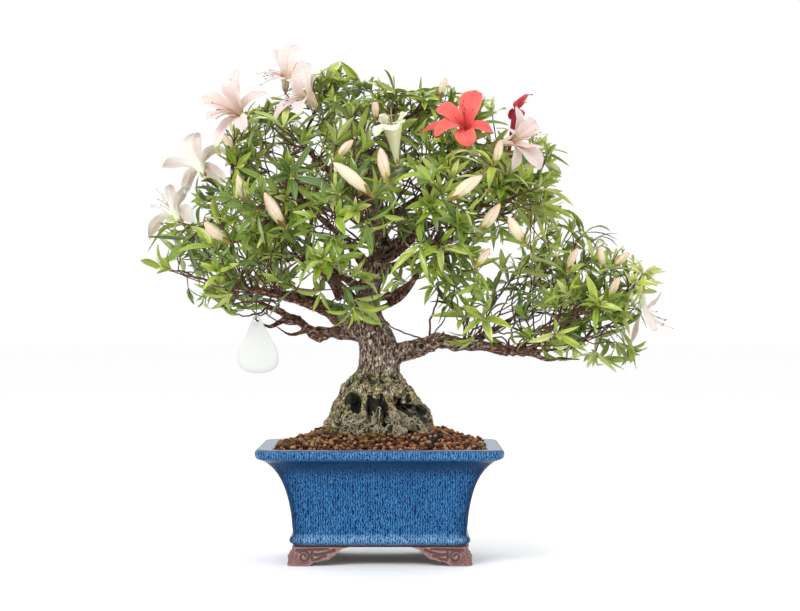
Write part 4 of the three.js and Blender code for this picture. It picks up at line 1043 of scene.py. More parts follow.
def leaves_of_shoot(shoot, is_inner, low, high, draw):
    """The leaves of one shoot: the solid's own or a fan of new ones, and young ones in their midst."""
    place, axis, group = shoot
    # Painted light and shade in the leaf tone: leaves higher in their spray and towards the right are painted
    # lighter, and leaves on inner shoots darker. The rest of the tone is drawn at random.
    raised = (place[2] - low[2]) / (high[2] - low[2])
    sunny = 0.1 * smoothstep(place[0], *SUNNY_SIDE)
    tone = 0.02 + 0.78 * draw.beta(1.5, 1.5) + 0.34 * raised + sunny - (0.3 if is_inner else 0.06)
    grown = []
    for leaf in group:
        *form, half, _ = leaf
        grown.append([*form, half * draw.uniform(0.62, 0.92), tone + draw.normal(0, 0.09)])
    rises = [] if group else [draw.uniform(0.8, 1.25) for _ in range(draw.integers(4, 7))]
    first = draw.uniform(0, 2 * math.pi)
    is_oval = draw.random() < (OVAL_TOP if place[2] > HIGH_SHOOTS else OVAL_SHOOTS)
    for k, rise in enumerate(rises):
        length = draw.uniform(*(SHORT_LEAF if is_oval or is_inner else LONG_LEAF)) * MM
        half = length * draw.uniform(*(OVAL_HALF if is_oval else NARROW_HALF))
        base = place + axis * (0.4 * k - 2) * MM
        droop = draw.uniform(0, 0.22)
        leaf_tone = tone + draw.normal(0, 0.09)
        grown.append(new_leaf(base, axis, first + LEAF_TURN * k, rise, length, half, droop, leaf_tone))
    for k in range(draw.integers(2, 5)):
        length = draw.uniform(*YOUNG_LEAF) * MM
        half = length * draw.uniform(*YOUNG_HALF)
        rise, droop = draw.uniform(0.25, 0.7), draw.uniform(-0.08, 0.1)
        turn = first + 1.2 + LEAF_TURN * k
        leaf_tone = tone + draw.uniform(0.05, 0.3)
        grown.append(new_leaf(place + axis * 1.5 * MM, axis, turn, rise, length, half, droop, leaf_tone))
    return grown


def grow_spray(name, draw, wood_tree, flower_tree, tips):
    """The fine twigs and leaves of one spray. Gives back the tips of broad leaves that are still free."""
    leaves, *joints = read_spray(name)
    low, high = (np.array(corner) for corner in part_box(name))
    whorls = whorls_of(leaves)
    twigs, foliage = Body(), Body()
    lines = add_branches(twigs, joints, whorls, draw, wood_tree)
    whorls = [whorl for whorl in whorls if in_outline(whorl[0], TWIG_ROOM)]
    for place, axis, _ in whorls:
        end = joints[0][nearest(joints[0], place)]
        line = curve_through([end, place, place + axis * 3 * MM], 2 * MM)
        add_twig(twigs, line, THIN_TWIG, TIP_RADIUS, 0)
    covered = np.array([leaf[k] for leaf in leaves for k in (0, 1)])
    shoots = whorls + side_shoots(twigs, lines, whorls, covered, (low, high), draw, flower_tree)
    inner = add_risers(twigs, shoots, draw, flower_tree)
    grown = []
    for k, shoot in enumerate([*shoots, *inner]):
        add_leaf_bud(foliage, shoot[0], shoot[1], draw)
        grown += leaves_of_shoot(shoot, k >= len(shoots), low, high, draw)
    kept = [leaf for leaf in grown
            if leaf_is_clear(leaf, low, high, flower_tree) and not in_window(leaf, draw)]
    broad, tips = broad_leaves(shoots, tips)
    special = broad + arching_leaves(shoots, draw)
    kept += [leaf for leaf in special if leaf_is_clear(leaf, low, high, flower_tree, ARCHING_ROOM)]
    for leaf in kept:
        leaf[5] = float(np.clip(leaf[5], 0, 1))
    add_leaves(foliage, kept, draw)
    part = name.removeprefix("spray_")
    add_piece(foliage.mesh("leaves_" + part), LOOKS["leaf"], [name], crease=32)
    add_piece(twigs.mesh("twigs_" + part), LOOKS["twig"], [name])
    return tips


def add_leaf_bud(body, place, axis, draw):
    """The pointed bud of young leaves at a shoot's end."""
    length = draw.uniform(3, 6) * MM
    line = place + axis * np.array([[-0.2], [0.25], [0.7], [1.0]]) * length
    points, faces = tube(line, np.array([0.5, 1.0, 0.6, 0.1]) * MM, 5)
    body.add(points, faces, (draw.uniform(0.8, 1), 0.5, 0.5, 1))


def limb_spots():
    """Places on the limbs where a twig may start, and the way that each faces."""
    spots = []
    for face in drawn_in(merged("trunk_and_limbs")).polygons:
        x, _, z = (np.array(face.center) - POT_MIDDLE) / MM
        on_trunk = abs(x - TRUNK_BARE["x"]) < TRUNK_BARE["half"] and z < TRUNK_BARE["top"]
        if z > LOWEST_TWIG and not on_trunk and face.area > LEAST_FACE:
            spots.append((np.array(face.center), np.array(face.normal)))
    return [np.array(part) for part in zip(*spots)]


def add_risers(twigs, shoots, draw, flower_tree):
    """Thin twigs that rise from the limbs to the shoots, and the shoots that some carry on the way."""
    places, ways = LIMB_SPOTS
    inner = []
    for place, _, _ in shoots:
        if draw.random() > RISERS:
            continue
        to_place = place - places
        reach = np.linalg.norm(to_place, axis=1)
        toward = to_place / reach[:, None]
        good = (reach > RISER_REACH[0]) & (reach < RISER_REACH[1]) & (toward[:, 2] > -0.1)
        good &= (toward * ways).sum(1) > 0.2
        if not good.any():
            continue
        weight = np.where(good, 1 / reach**1.5, 0)
        k = draw.choice(len(places), p=weight / weight.sum())
        foot = places[k] + ways[k] * 5 * MM
        sway = unit(ways[k] + draw.normal(0, 0.7, 3)) * reach[k] * 0.12
        bend = foot + (place - foot) * 0.45 + sway
        bends = [places[k] - ways[k] * 3 * MM, foot, bend, place]
        line = crooked(curve_through(bends, 6 * MM), draw, 2.4 * MM)
        line[1:-1] += draw.normal(0, 0.7 * MM, line[1:-1].shape)
        if min(gap_to(flower_tree, point) for point in line) < 2.5 * MM:
            continue
        add_twig(twigs, line, THIN_TWIG, draw.uniform(0.8, 1.3) * MM, draw.uniform(0, 0.6))
        if draw.random() < RISER_WHORLS:
            k = int(len(line) * draw.uniform(0.5, 0.85))
            aside = unit(draw.normal(0, 1, 3) + [0, 0, 0.4])
            end = line[k] + unit(line[k] - line[k - 1] + aside) * draw.uniform(6, 14) * MM
            add_twig(twigs, np.linspace(line[k], end, 3), 0.45 * MM, 0.6 * MM, 0)
            inner.append((end, unit(end - line[k]), []))
    return inner


def seen(place):
    """Where the viewer sees a place, in the plane through the pot's middle: millimetres across and up."""
    near = (POT_MIDDLE[1] - CAMERA_PLACE[1]) / (place[1] - CAMERA_PLACE[1])
    across, _, up = (CAMERA_PLACE + (place - CAMERA_PLACE) * near - POT_MIDDLE) / MM
    return across, up


def in_outline(place, room=0.0):
    """Whether the viewer sees a place inside the crown's outline, or no more than that room outside it."""
    across, up = seen(place)
    top = np.interp(across, *np.array(CROWN_TOP).T)
    bottom = np.interp(across, *np.array(CROWN_FLOOR).T)
    return bottom - room < up < top + room and across < CROWN_RIGHT + room


def in_window(leaf, draw):
    """Whether a leaf on the near side is left out because it hangs in front of bare branches."""
    across, up = seen(leaf[2])
    inside = any(((across - x) / half_x) ** 2 + ((up - z) / half_z) ** 2 < 1
                 for x, z, half_x, half_z in WINDOWS)
    return inside and leaf[2][1] < WINDOW_BACK and draw.random() < WINDOW_SHADE


def broad_leaves(shoots, tips):
    """The broad leaves whose tips are within reach of one of these shoots, and the tips that are not."""
    leaves, free = [], []
    for tip in tips:
        steps = [tip[:2] - seen(place) for place, _, _ in shoots]
        reach = [float(np.linalg.norm(step)) for step in steps]
        good = [k for k, step in enumerate(steps)
                if BROAD_REACH[0] < reach[k] < BROAD_REACH[1] and step[1] > BROAD_RISE]
        if not good:
            free.append(tip)
            continue
        k = min(good, key=lambda k: abs(reach[k] - BROAD_BEST))
        base = shoots[k][0]
        end = base + np.array([steps[k][0], -5, steps[k][1]]) * MM
        middle = (base + end) / 2 + np.array([0, 2.5, 0]) * MM
        leaves.append([base, middle, end, np.array([0.95, -0.3, 0.0]), tip[2] * MM, 0.62])
    return leaves, free


def arching_leaves(shoots, draw):
    """Long narrow leaves on the outermost shoots, which arch out over the crown's outline."""
    leaves = []
    for place, _, _ in shoots:
        across, up = seen(place)
        away = unit(np.array([across - CROWN_MIDDLE[0], draw.normal(0, 40), up - CROWN_MIDDLE[1]]))
        if in_outline(place + away * 14 * MM) or draw.random() > ARCHING_SHOOTS:
            continue
        for _ in range(2):
            way = unit(away + draw.normal(0, 0.35, 3) + [0, 0, 0.25])
            length = draw.uniform(*ARCHING_LENGTH) * MM
            droop = draw.uniform(0.05, 0.35) * length
            tip = place + way * length - np.array([0, 0, droop])
            middle = place + way * length * LEAF_WIDEST + np.array([0, 0, 0.05 * length])
            tone = float(np.clip(draw.normal(0.45, 0.2), 0, 1))
            half = length * draw.uniform(0.05, 0.075)
            leaves.append([place, middle, tip, np.cross(way, [0, 0, 1.0]), half, tone])
    return leaves


def leaf_is_clear(leaf, low, high, flower_tree, room=0.0):
    """Whether a leaf stays in its spray's own space, in the crown's outline and off the flowers and buds."""
    margin = SPRAY_MARGIN + room * MM
    for place in (leaf[1], leaf[2]):
        if np.any(place < low - margin) or np.any(place > high + margin) or not in_outline(place, room):
            return False
        if gap_to(flower_tree, place) < FLOWER_ROOM * 0.6:
            return False
    along = [leaf[0] * (1 - share) + leaf[2] * share for share in (0.1, 0.4, 0.7, 1.0)]
    return not any(hides_flower(place, flower_tree) for place in along)


def hides_flower(place, flower_tree):
    """Whether a flower or a bud stands straight behind a place, as the viewer sees it."""
    return flower_tree.ray_cast(Vector(place), Vector(unit(place - CAMERA_PLACE)))[0] is not None


def make_sprays(corollas, wood_tree):
    nodes = sorted(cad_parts)
    buds = [name for name in nodes if name.startswith("bud_")]
    flower_tree = tree_of(buds + [corolla.data for corolla in corollas])
    tips = [np.array(tip) for tip in BROAD_LEAVES]
    for k, name in enumerate(name for name in nodes if name.startswith("spray_")):
        tips = grow_spray(name, np.random.default_rng(100 + k), wood_tree, flower_tree, tips)


# ---------------------------------------------------------------- trunk, roots and limbs

WOOD_VOXEL = 1.42 * MM
HOLLOW_VOXEL = 1.6 * MM
TRUNK_X = -4
# Hollows under the flare of the roots: middle and half sizes of each.
HOLLOWS = [
    [-26, -35, 158, 7.8, 19, 8.5],
    [-22, -36, 152, 5.2, 18, 6.5],
    [-3, -44, 150, 10.5, 25, 10],
    [-9, -42, 156, 4.5, 22, 5.5],
    [0, -38, 141, 7.5, 19, 9],
    [-33, -40, 142, 4.5, 9, 3],
    [-17, -43, 136, 3.5, 7, 3],
    [12, -45, 143, 2.6, 7, 4],
    [31, -42, 146, 5, 8, 2],
    [-42, -33, 148, 3.5, 8, 3.5],
    [22, -44, 135, 3.5, 6, 2.2],
    [25, -40, 151, 13.5, 22, 5],
    [37, -33, 148.5, 8.5, 20, 4.6],
    [41, -12, 152, 10, 7, 8],
    [-43, 8, 150, 11, 7, 9],
    [-25, 35, 147, 5.5, 16, 5],
    [8, 37, 149, 9.5, 16, 7.5],
    [-8, 38, 141, 3.5, 10, 3],
    [27, 34, 142, 4, 10, 3],
]
# Burls that hang over the hollows: middle and radius.
BURLS = [
    [-27, -19, 168, 7.5],
    [-15, -27, 171, 6.5],
    [-9, -31, 168, 3.5],
    [2, -28, 170, 8],
    [17, -26, 168, 9],
    [26, -18, 163, 8.5],
    [33, -24, 156, 3.5],
    [-28, 0, 164, 7.5],
    [6, 27, 168, 9],
    [-17, 24, 170, 8],
    [23, 18, 165, 9],
]
# Thin legs that come down in front of the hollows: the radius and the line of each.
LEGS = [
    [3.2, [-16, -29, 173], [-15, -36, 162], [-15.5, -39, 150], [-15, -40, 140], [-16, -42, 127]],
    [4.6, [8, -30, 172], [9, -38, 160], [11, -41, 149], [16, -43, 138], [22, -44, 127]],
    [8.5, [-24, -16, 166], [-36, -24, 156], [-43, -27, 143], [-44, -29, 125]],
    [5.5, [27, -18, 164], [39, -21, 153], [44, -22, 141], [46, -24, 125]],
    [8.5, [20, -32, 141], [28, -37, 139], [35, -36, 136], [42, -33, 127]],
    [6.5, [-44, -33, 133], [-35, -38, 136], [-25, -40, 135], [-18, -42, 128]],
    [4.5, [-11, -38, 133], [-3, -40, 133], [6, -42, 128]],
    [4.5, [-2, 30, 168], [0, 39, 154], [-2, 41, 127]],
    [5.0, [24, 27, 168], [30, 33, 150], [34, 35, 127]],
    [2.2, [3, -36, 150], [-2, -40, 143], [-8, -41, 138], [-12, -41, 132]],
    [1.7, [20, -34, 158], [27, -38, 151], [36, -35, 147], [40, -30, 142]],
    [1.9, [34, -28, 162], [33, -35, 153], [30, -37, 144]],
    [2.2, [-33, -27, 158], [-30, -36, 150], [-30, -39, 140]],
]
# Where limbs run out into thin branches: the radius at both ends, and the line.
LIMB_ENDS = [
    [[3.4, 1.4], [132, -8, 208], [150, -7, 206], [165, -6, 203], [180, -2, 204], [200, 2, 199]],
    [[4.0, 1.7], [-40, -8, 258], [-56, -16, 288], [-72, -22, 318], [-68, -24, 345], [-60, -24, 372]],
    [[3.8, 1.6], [-14, -10, 286], [-32, -20, 314], [-45, -26, 340], [-41, -28, 366]],
    [[3.0, 1.4], [-56, -16, 288], [-78, -26, 300], [-92, -32, 322], [-90, -34, 346]],
    [[4.2, 1.7], [8, -8, 300], [26, -22, 316], [38, -30, 336], [46, -32, 360]],
    [[3.2, 1.8], [0, -8, 250], [20, -20, 262], [33, -28, 284], [47, -34, 318], [58, -36, 338]],
    [[3.6, 1.4], [120, -10, 207], [140, -16, 212], [158, -20, 222], [172, -24, 236]],
    [[3.6, 1.3], [-100, -16, 264], [-118, -20, 268], [-138, -22, 277], [-156, -26, 280]],
    [[4.2, 1.3], [-84, 14, 238], [-100, 13, 240], [-114, 8, 236], [-128, 4, 241]],
    [[3.4, 1.2], [-60, 14, 224], [-76, 8, 230], [-92, 4, 228], [-108, -2, 235]],
]
# How far the foot of the trunk is drawn in from the solid: height, and the shares of its width that stay
# on the left and on the right.
WAIST = [
    [112, 1.0, 1.0], [120, 1.0, 1.0], [127, 0.86, 0.91], [131, 0.76, 0.88], [137, 0.74, 0.87],
    [142, 0.84, 0.85], [147, 0.9, 0.83], [152, 0.99, 0.78], [156, 0.98, 0.77], [160, 0.96, 0.72],
    [164.5, 0.95, 0.7], [169, 0.93, 0.69], [173, 0.92, 0.73], [177, 0.94, 0.79], [186, 1.0, 0.93],
    [197, 1.0, 1.0],
]
WAIST_X = -3
# The right limb along its length: across, the share of the solid's thickness, and how far it is lifted.
SLIMMED = [[95, 1.0, 0], [118, 0.82, 2], [132, 0.64, 5], [148, 0.5, 6], [162, 0.4, 6.5], [185, 0.4, 5]]
LIMB_ROOM = 17
# Strands that twist round a limb and make it gnarled: the limb's line, the strand's distance from it and its
# radius at both ends, and how often it goes round.
STRANDS = [
    {"line": [[44, -6, 213], [58, -8, 218], [80, -10, 214], [105, -12, 212], [125, -10, 205], [145, -8, 203],
              [160, -5, 201]],
     "out": [5.8, 1.4], "radius": [4.2, 1.5], "turns": 1.6, "starts": [0.4, 2.5, 4.6]},
    {"line": [[-26, -2, 232], [-42, -5, 241], [-60, -10, 255], [-85, -15, 262], [-118, -20, 268]],
     "out": [5, 2], "radius": [4, 2.2], "turns": 1.2, "starts": [0.2, 3.3]},
    {"line": [[-34, 13, 226], [-50, 15, 226], [-65, 15, 225], [-80, 13, 236], [-100, 14, 246]],
     "out": [5, 2], "radius": [4.2, 2.2], "turns": 1.4, "starts": [1.2, 4.3]},
    {"line": [[0, 0, 330], [2, 0, 300], [-9, 0, 279], [-13, 0, 258], [-12, 0, 240]],
     "out": [5, 8], "radius": [3.5, 5.5], "turns": 0.7, "starts": [0.5, 2.6, 4.7]},
]
SPURS = 110
STRAND_KNOBS = 9
KNOT = {"place": [41, -14, 213], "radius": 3.4}
# Spurs grow above this height, on faces of the solid no smaller than this.
LOWEST_SPUR, LEAST_SPUR_FACE = at(0, 0, 222)[2], 4e-6
# How far the far wall of the wood is looked for, and the thickness taken where none is met.
WALL_REACH, WALL_ASSUMED = 60 * MM, 40 * MM
# How far the bark may stand out, as shares of the wood's thickness and at most: fine and coarse forms.
FINE_SHARE, FINE_MOST = 0.045, 0.85 * MM
COARSE_SHARE, COARSE_MOST = 0.16, 1.9 * MM


def ball(place, sizes, steps=3):
    points, faces = icosphere(steps)
    return at(*place) + points * np.asarray(sizes) * MM, [faces]


def curve_at(places, spacing):
    """A smooth curve through places in the pot's millimetres."""
    return curve_through([at(*place) for place in places], spacing)


def drawn_in(mesh):
    """The same wood with the foot of the trunk narrowed, and the right limb slimmed and lifted."""
    place = (coordinates(mesh) - POT_MIDDLE) / MM
    heights, left, right = np.array(WAIST).T
    is_right = smoothstep(place[:, 0], WAIST_X - 8, WAIST_X + 8)
    left_share, right_share = np.interp(place[:, 2], heights, left), np.interp(place[:, 2], heights, right)
    share = left_share * (1 - is_right) + right_share * is_right
    place[:, 0] = WAIST_X + (place[:, 0] - WAIST_X) * share
    place[:, 1] *= (1 + share) / 2
    x, limb = place[:, 0], np.array(STRANDS[0]["line"]).T
    middle = np.stack([x, np.interp(x, limb[0], limb[1]), np.interp(x, limb[0], limb[2])], 1)
    on_limb = (x > SLIMMED[0][0]) & (np.linalg.norm(place - middle, axis=1) < LIMB_ROOM)
    slim = np.interp(x[on_limb], *np.array(SLIMMED).T[:2])[:, None]
    place[on_limb] = lifted(middle[on_limb] + (place[on_limb] - middle[on_limb]) * slim)
    set_coordinates(mesh, at(0, 0, 0) + place * MM)
    return mesh


def lifted(places):
    """Places on the right limb, in millimetres, raised with it."""
    across, _, lift = np.array(SLIMMED).T
    places = np.array(places, float)
    places[:, 2] += np.interp(places[:, 0], across, lift)
    return places


def add_strands(body, draw):
    for strand in STRANDS:
        line = curve_at(lifted(strand["line"]), 3 * MM)
        share = np.linspace(0, 1, len(line))
        way = unit(np.gradient(line, axis=0))
        level = unit(np.cross(way, [0, 0, 1.0]))
        raised = np.cross(level, way)
        out = np.interp(share, [0, 1], strand["out"])[:, None] * MM
        taper = np.sin(math.pi * (0.06 + 0.88 * share)) ** 0.35
        radius = np.interp(share, [0, 1], strand["radius"]) * MM * taper
        for start in strand["starts"]:
            around = circle(start + strand["turns"] * 2 * math.pi * share, level, raised)
            strand_line = crooked(line + around * out, draw, 0.9 * MM)
            body.add(*tube(strand_line, radius * draw.uniform(0.8, 1.2, len(line)), 8))
            for k in draw.choice(len(line), STRAND_KNOBS):
                add_knob(body, strand_line[k] + around[k] * radius[k] * 0.55, draw.uniform(1.8, 3.2, 3))


def add_knob(body, place, sizes):
    points, faces = icosphere(2)
    body.add(place + points * sizes * MM, [faces])


def add_spurs(body, mesh, draw):
    """Stubs of cut twigs and small knobs on the limbs."""
    points = coordinates(mesh)
    faces = [face for face in mesh.polygons if face.center.z > LOWEST_SPUR and face.area > LEAST_SPUR_FACE]
    shares = np.array([face.area for face in faces])
    for k in draw.choice(len(faces), SPURS, p=shares / shares.sum()):
        corners = points[list(faces[k].vertices)]
        place = draw.dirichlet(np.ones(len(corners))) @ corners
        if draw.random() < 0.5:
            lean = unit(np.array(faces[k].normal) + draw.normal(0, 0.4, 3))
            length = draw.uniform(2, 5) * MM
            line = place + lean * np.linspace(-2 * MM, length, 4)[:, None]
            body.add(*tube(line, np.array([2.6, 2.2, 1.9, 1.6]) * MM * draw.uniform(0.85, 1.2), 7))
        else:
            add_knob(body, place, draw.uniform(2, 3.6, 3))


def hollow_skin():
    """What is cut out of the wood: an uneven ball for each hollow."""
    hollows = Body()
    for x, y, z, *sizes in HOLLOWS:
        points, faces = ball([x, y, z], sizes, 4)
        middle = at(x, y, z)
        uneven = 1 + 0.38 * field(points, 170, x) + 0.2 * field(points, 420, x + 1)
        hollows.add(middle + (points - middle) * uneven[:, None], faces)
    return remeshed("hollow_skin", [hollows.mesh("hollows")], HOLLOW_VOXEL)


def added_wood(solid):
    """What grows out of the wood: burls, legs, limb ends, strands and spurs."""
    added = Body()
    for *place, radius in BURLS:
        added.add(*ball(place, [radius, radius * 0.8, radius * 0.9]))
    for radius, *places in LEGS:
        line = curve_at(places, 3 * MM)
        share = np.linspace(0, 1, len(line))
        added.add(*tube(line, radius * MM * (1.15 - 0.35 * np.sin(math.pi * share)), 10))
    for radii, *places in LIMB_ENDS:
        line = crooked(curve_at(places, 4 * MM), np.random.default_rng(6), 1.5 * MM)
        added.add(*tube(line, np.linspace(*radii, len(line)) * MM, 8))
    add_strands(added, np.random.default_rng(4))
    add_spurs(added, solid, np.random.default_rng(5))
    return added.mesh("added")


def bark_relief(points, thickness, low, knot):
    """How far the bark stands out at each point: gnarled and ridged, deepest low on the trunk."""
    fine = np.minimum(thickness * FINE_SHARE, FINE_MOST)
    coarse = np.minimum(thickness * COARSE_SHARE, COARSE_MOST)
    gnarl = field(points, [110, 110, 60], 1)
    ridges = 1 - 2 * np.abs(field(points, [300, 300, 120], 2))
    push = coarse * (0.8 * gnarl + 0.5 * field(points, 75, 3))
    push = push + fine * (0.9 * ridges + 0.7 * field(points, 420, 4))
    push += low * 2.0 * MM * (field(points, [150, 150, 70], 5) - 0.1)
    push += low * 2.3 * MM * (2 * np.abs(field(points, [80, 80, 46], 6)) - 0.45)
    push += low * 0.6 * MM * (2 * np.abs(field(points, 230, 8)) - 0.4)
    push += 1.6 * MM * np.exp(-((knot - 1.25) ** 2) * 6) - 3.2 * MM * np.exp(-((knot / 0.75) ** 2))
    return push


def make_wood():
    """Trunk, surface roots and limbs as one skin, with hollows under the roots and flaking bark."""
    solid = drawn_in(merged("trunk_and_limbs"))
    added = added_wood(solid)
    carved = cut(solid, hollow_skin(), "carved")
    skin = remeshed("trunk_and_limbs_bark", [carved, added], WOOD_VOXEL)
    points = relaxed(skin, coordinates(skin), 5)
    set_coordinates(skin, points)
    thickness = wall_thickness(skin, points)
    x, _, z = ((points - POT_MIDDLE) / MM).T
    low = smoothstep(z, 196, 176) * smoothstep(np.abs(x - TRUNK_X), 70, 56)
    knot = np.linalg.norm(points - at(*KNOT["place"]), axis=1) / (KNOT["radius"] * MM)
    points = points + normals(skin) * bark_relief(points, thickness, low, knot)[:, None]
    set_coordinates(skin, points)
    # Painted shade: the wood is painted dark in sunken places and crevices, in the knot's pit, deep in the
    # hollows and under the root mats.
    sunk = dot(relaxed(skin, points, 10) - points, normals(skin))[:, 0]
    painted_shade = np.clip(sunk / (0.75 * MM), 0, 1)
    for other in (np.exp(-((knot / 0.8) ** 2)), inside_hollows(points), 0.62 * under_mats(points)):
        painted_shade = np.maximum(painted_shade, other)
    thin = 1 - smoothstep(thickness / MM, 7, 19)
    level = smoothstep(np.abs(x + 5), 30, 48) * smoothstep(z, 300, 280)
    paint_mesh(skin, np.stack([painted_shade, low, thin, level], 1))
    return add_piece(skin, LOOKS["bark"], ["trunk_and_limbs"])


def inside_hollows(points):
    """How deep each point lies in a hollow, from 0 on the outside to 1."""
    place = (points - POT_MIDDLE) / MM
    deepest = np.zeros(len(points))
    for x, y, z, half_x, half_y, half_z in HOLLOWS:
        reach = np.linalg.norm((place - [x, y, z]) / [half_x, half_y, half_z], axis=1)
        outward, column = (y, place[:, 1]) if abs(y) > 20 else (x, place[:, 0])
        depth = abs(outward) - column * np.sign(outward)
        deepest = np.maximum(deepest, smoothstep(reach, 1.45, 1.0) * smoothstep(depth, -5, 9))
    return deepest


def under_mats(points):
    """How much each point lies under a mat of fine roots, where the wood gets painted shade."""
    place = (points - POT_MIDDLE) / MM
    share = np.zeros(len(points))
    for mat in ROOT_MATS:
        across = (place[:, 0] - mat["x"]) / mat["half_x"]
        up = (place[:, 2] - mat["z"]) / mat["half_z"]
        share = np.maximum(share, smoothstep(np.hypot(across, up), 1.25, 0.8))
    return share * smoothstep(place[:, 1], -15, -25) * smoothstep(field(points, 150, 9), -0.5, 0.1)


def wall_thickness(mesh, points):
    """How far it is from each point, straight in, to the far wall."""
    tree = tree_of([mesh])
    result = np.full(len(points), WALL_ASSUMED)
    for k, (point, way) in enumerate(zip(points, normals(mesh))):
        hit = tree.ray_cast(Vector(point - way * 0.3 * MM), Vector(-way), WALL_REACH)
        if hit[3] is not None:
            result[k] = hit[3]
    return relaxed(mesh, np.repeat(result[:, None], 3, 1), 12)[:, 0]


# Where fine feeding roots lie matted on the foot of the trunk: middle and half sizes across and up.
ROOT_MATS = [
    {"x": 30, "z": 139.5, "half_x": 18, "half_z": 7, "count": 84},
    {"x": -30, "z": 137, "half_x": 16, "half_z": 5, "count": 34},
    {"x": -4, "z": 139, "half_x": 12, "half_z": 6, "count": 34},
]


ROOT_PALE, ROOT_DARK = np.array(rgb(228, 218, 188)), np.array(rgb(84, 68, 46))


def blend(a, b, share):
    return a * share + b * (1 - share)


def make_fine_roots(tree):
    """Beige threads that wander over the foot of the trunk, front and back."""
    draw = np.random.default_rng(7)
    body = Body()
    for mat in ROOT_MATS:
        for k in range(mat["count"] * 3 // 2):
            front = -1 if k < mat["count"] else 1
            x = mat["x"] + mat["half_x"] * draw.uniform(-1, 1)
            z = mat["z"] + mat["half_z"] * draw.uniform(-1, 1)
            place = at(x * 0.9, front * 48, z)
            heading = draw.uniform(0, 2 * math.pi)
            line = []
            for _ in range(draw.integers(5, 10)):
                touch, outward = (np.array(part) for part in tree.find_nearest(Vector(place))[:2])
                line.append(touch + outward * 0.5 * MM)
                heading += draw.normal(0, 0.6)
                way = np.array([math.cos(heading), 0, math.sin(heading)])
                place = line[-1] + unit(way - outward * (way @ outward)) * 2.6 * MM
            radius = draw.uniform(0.35, 0.75) * MM
            thread = tube(curve_through(line, 1.6 * MM), radius, 4)
            body.add(*thread, blend(ROOT_PALE, ROOT_DARK, draw.uniform(0, 1)))
    add_piece(body.mesh("fine_roots"), LOOKS["fine_root"])


# ---------------------------------------------------------------- soil and moss

SOIL_HALF_X = 102.0
SOIL_HALF_Y = 76.5
GRAINS = 2350
STRAWS = 46
STRAW = np.array(rgb(186, 150, 84))
# Roots lower than this lie under the granules.
SOIL_LINE = at(0, 0, 128)[2]
# Steps of a sequence that fills a rectangle evenly.
EVEN_STEPS = [0.7548777, 0.5698403]
# The sizes of granules, the share that lies on top of others and how much higher, and the share of pebbles.
GRAIN_SIZE = [1.6, 3.5]
TOP_GRAINS, TOP_RISE, PEBBLES = 0.22, 2.4 * MM, 0.012
# A height above the whole surface of the soil, from which places on it are looked for.
ABOVE_SOIL = 300
DOWN, UP = Vector((0, 0, -1)), Vector((0, 0, 1))


def dropped(tree, x, y):
    """Where a plumb line over a place in the pot first meets the tree's faces, or None."""
    return tree.ray_cast(Vector(at(x, y, ABOVE_SOIL)), DOWN)[0]


def in_pot(x, y):
    return abs(x) <= SOIL_HALF_X and abs(y) <= SOIL_HALF_Y


def grain_place(x, y, soil_tree, wood_tree):
    """A place for a granule on the soil or on a low root, or None inside the wood and close to it."""
    ground, root = dropped(soil_tree, x, y), dropped(wood_tree, x, y)
    if ground is None:
        return None
    z = ground.z
    if root is not None and root.z < SOIL_LINE:
        z = max(z, root.z)
    top = Vector(at(x, y, ABOVE_SOIL))
    is_close = gap_to(wood_tree, (top.x, top.y, z + 2 * MM)) < 0.6 * MM
    if is_close or soil_is_covered(wood_tree, Vector((top.x, top.y, z + 1 * MM))):
        return None
    return np.array([top.x, top.y, z])


def add_grain(body, place, corners, faces, draw):
    size = draw.uniform(*GRAIN_SIZE) * MM
    layer = draw.uniform(-0.3, 0.75) * size + (TOP_RISE if draw.random() < TOP_GRAINS else 0)
    stretch = draw.uniform(0.68, 1.2, 3) * [1, 1, 0.85]
    lumpy = 1 + draw.uniform(-0.24, 0.2, (len(corners), 1))
    axis, angle = unit(draw.normal(0, 1, 3)), draw.uniform(0, 6.28)
    points = turned(corners * lumpy * stretch, axis, angle)
    is_pebble = draw.random() < PEBBLES
    size *= 0.7 if is_pebble else 1
    tone = float(draw.beta(0.95, 1.05))
    # Painted shade: each granule darkens towards its underside.
    underside_shade = smoothstep(points[:, 2], 0.5, -0.45)
    none = 0 * underside_shade
    paint = np.stack([none + tone, none + is_pebble, underside_shade, none + 1], 1)
    body.add(place + [0, 0, layer] + points * size, [faces], paint)


def make_soil(soil_tree, wood_tree):
    """Loose granules over the soil's surface, from the trunk's foot to the pot's wall."""
    draw = np.random.default_rng(21)
    form = icosphere(1)
    body, placed = Body(), 0
    for k in range(GRAINS * 3):
        if placed == GRAINS:
            break
        x, y = ((2 * ((0.5 + step * k) % 1) - 1) for step in EVEN_STEPS)
        place = grain_place(SOIL_HALF_X * x, SOIL_HALF_Y * y, soil_tree, wood_tree)
        if place is not None:
            add_grain(body, place, *form, draw)
            placed += 1
    add_piece(body.mesh("soil_granules"), LOOKS["soil"], crease=38)


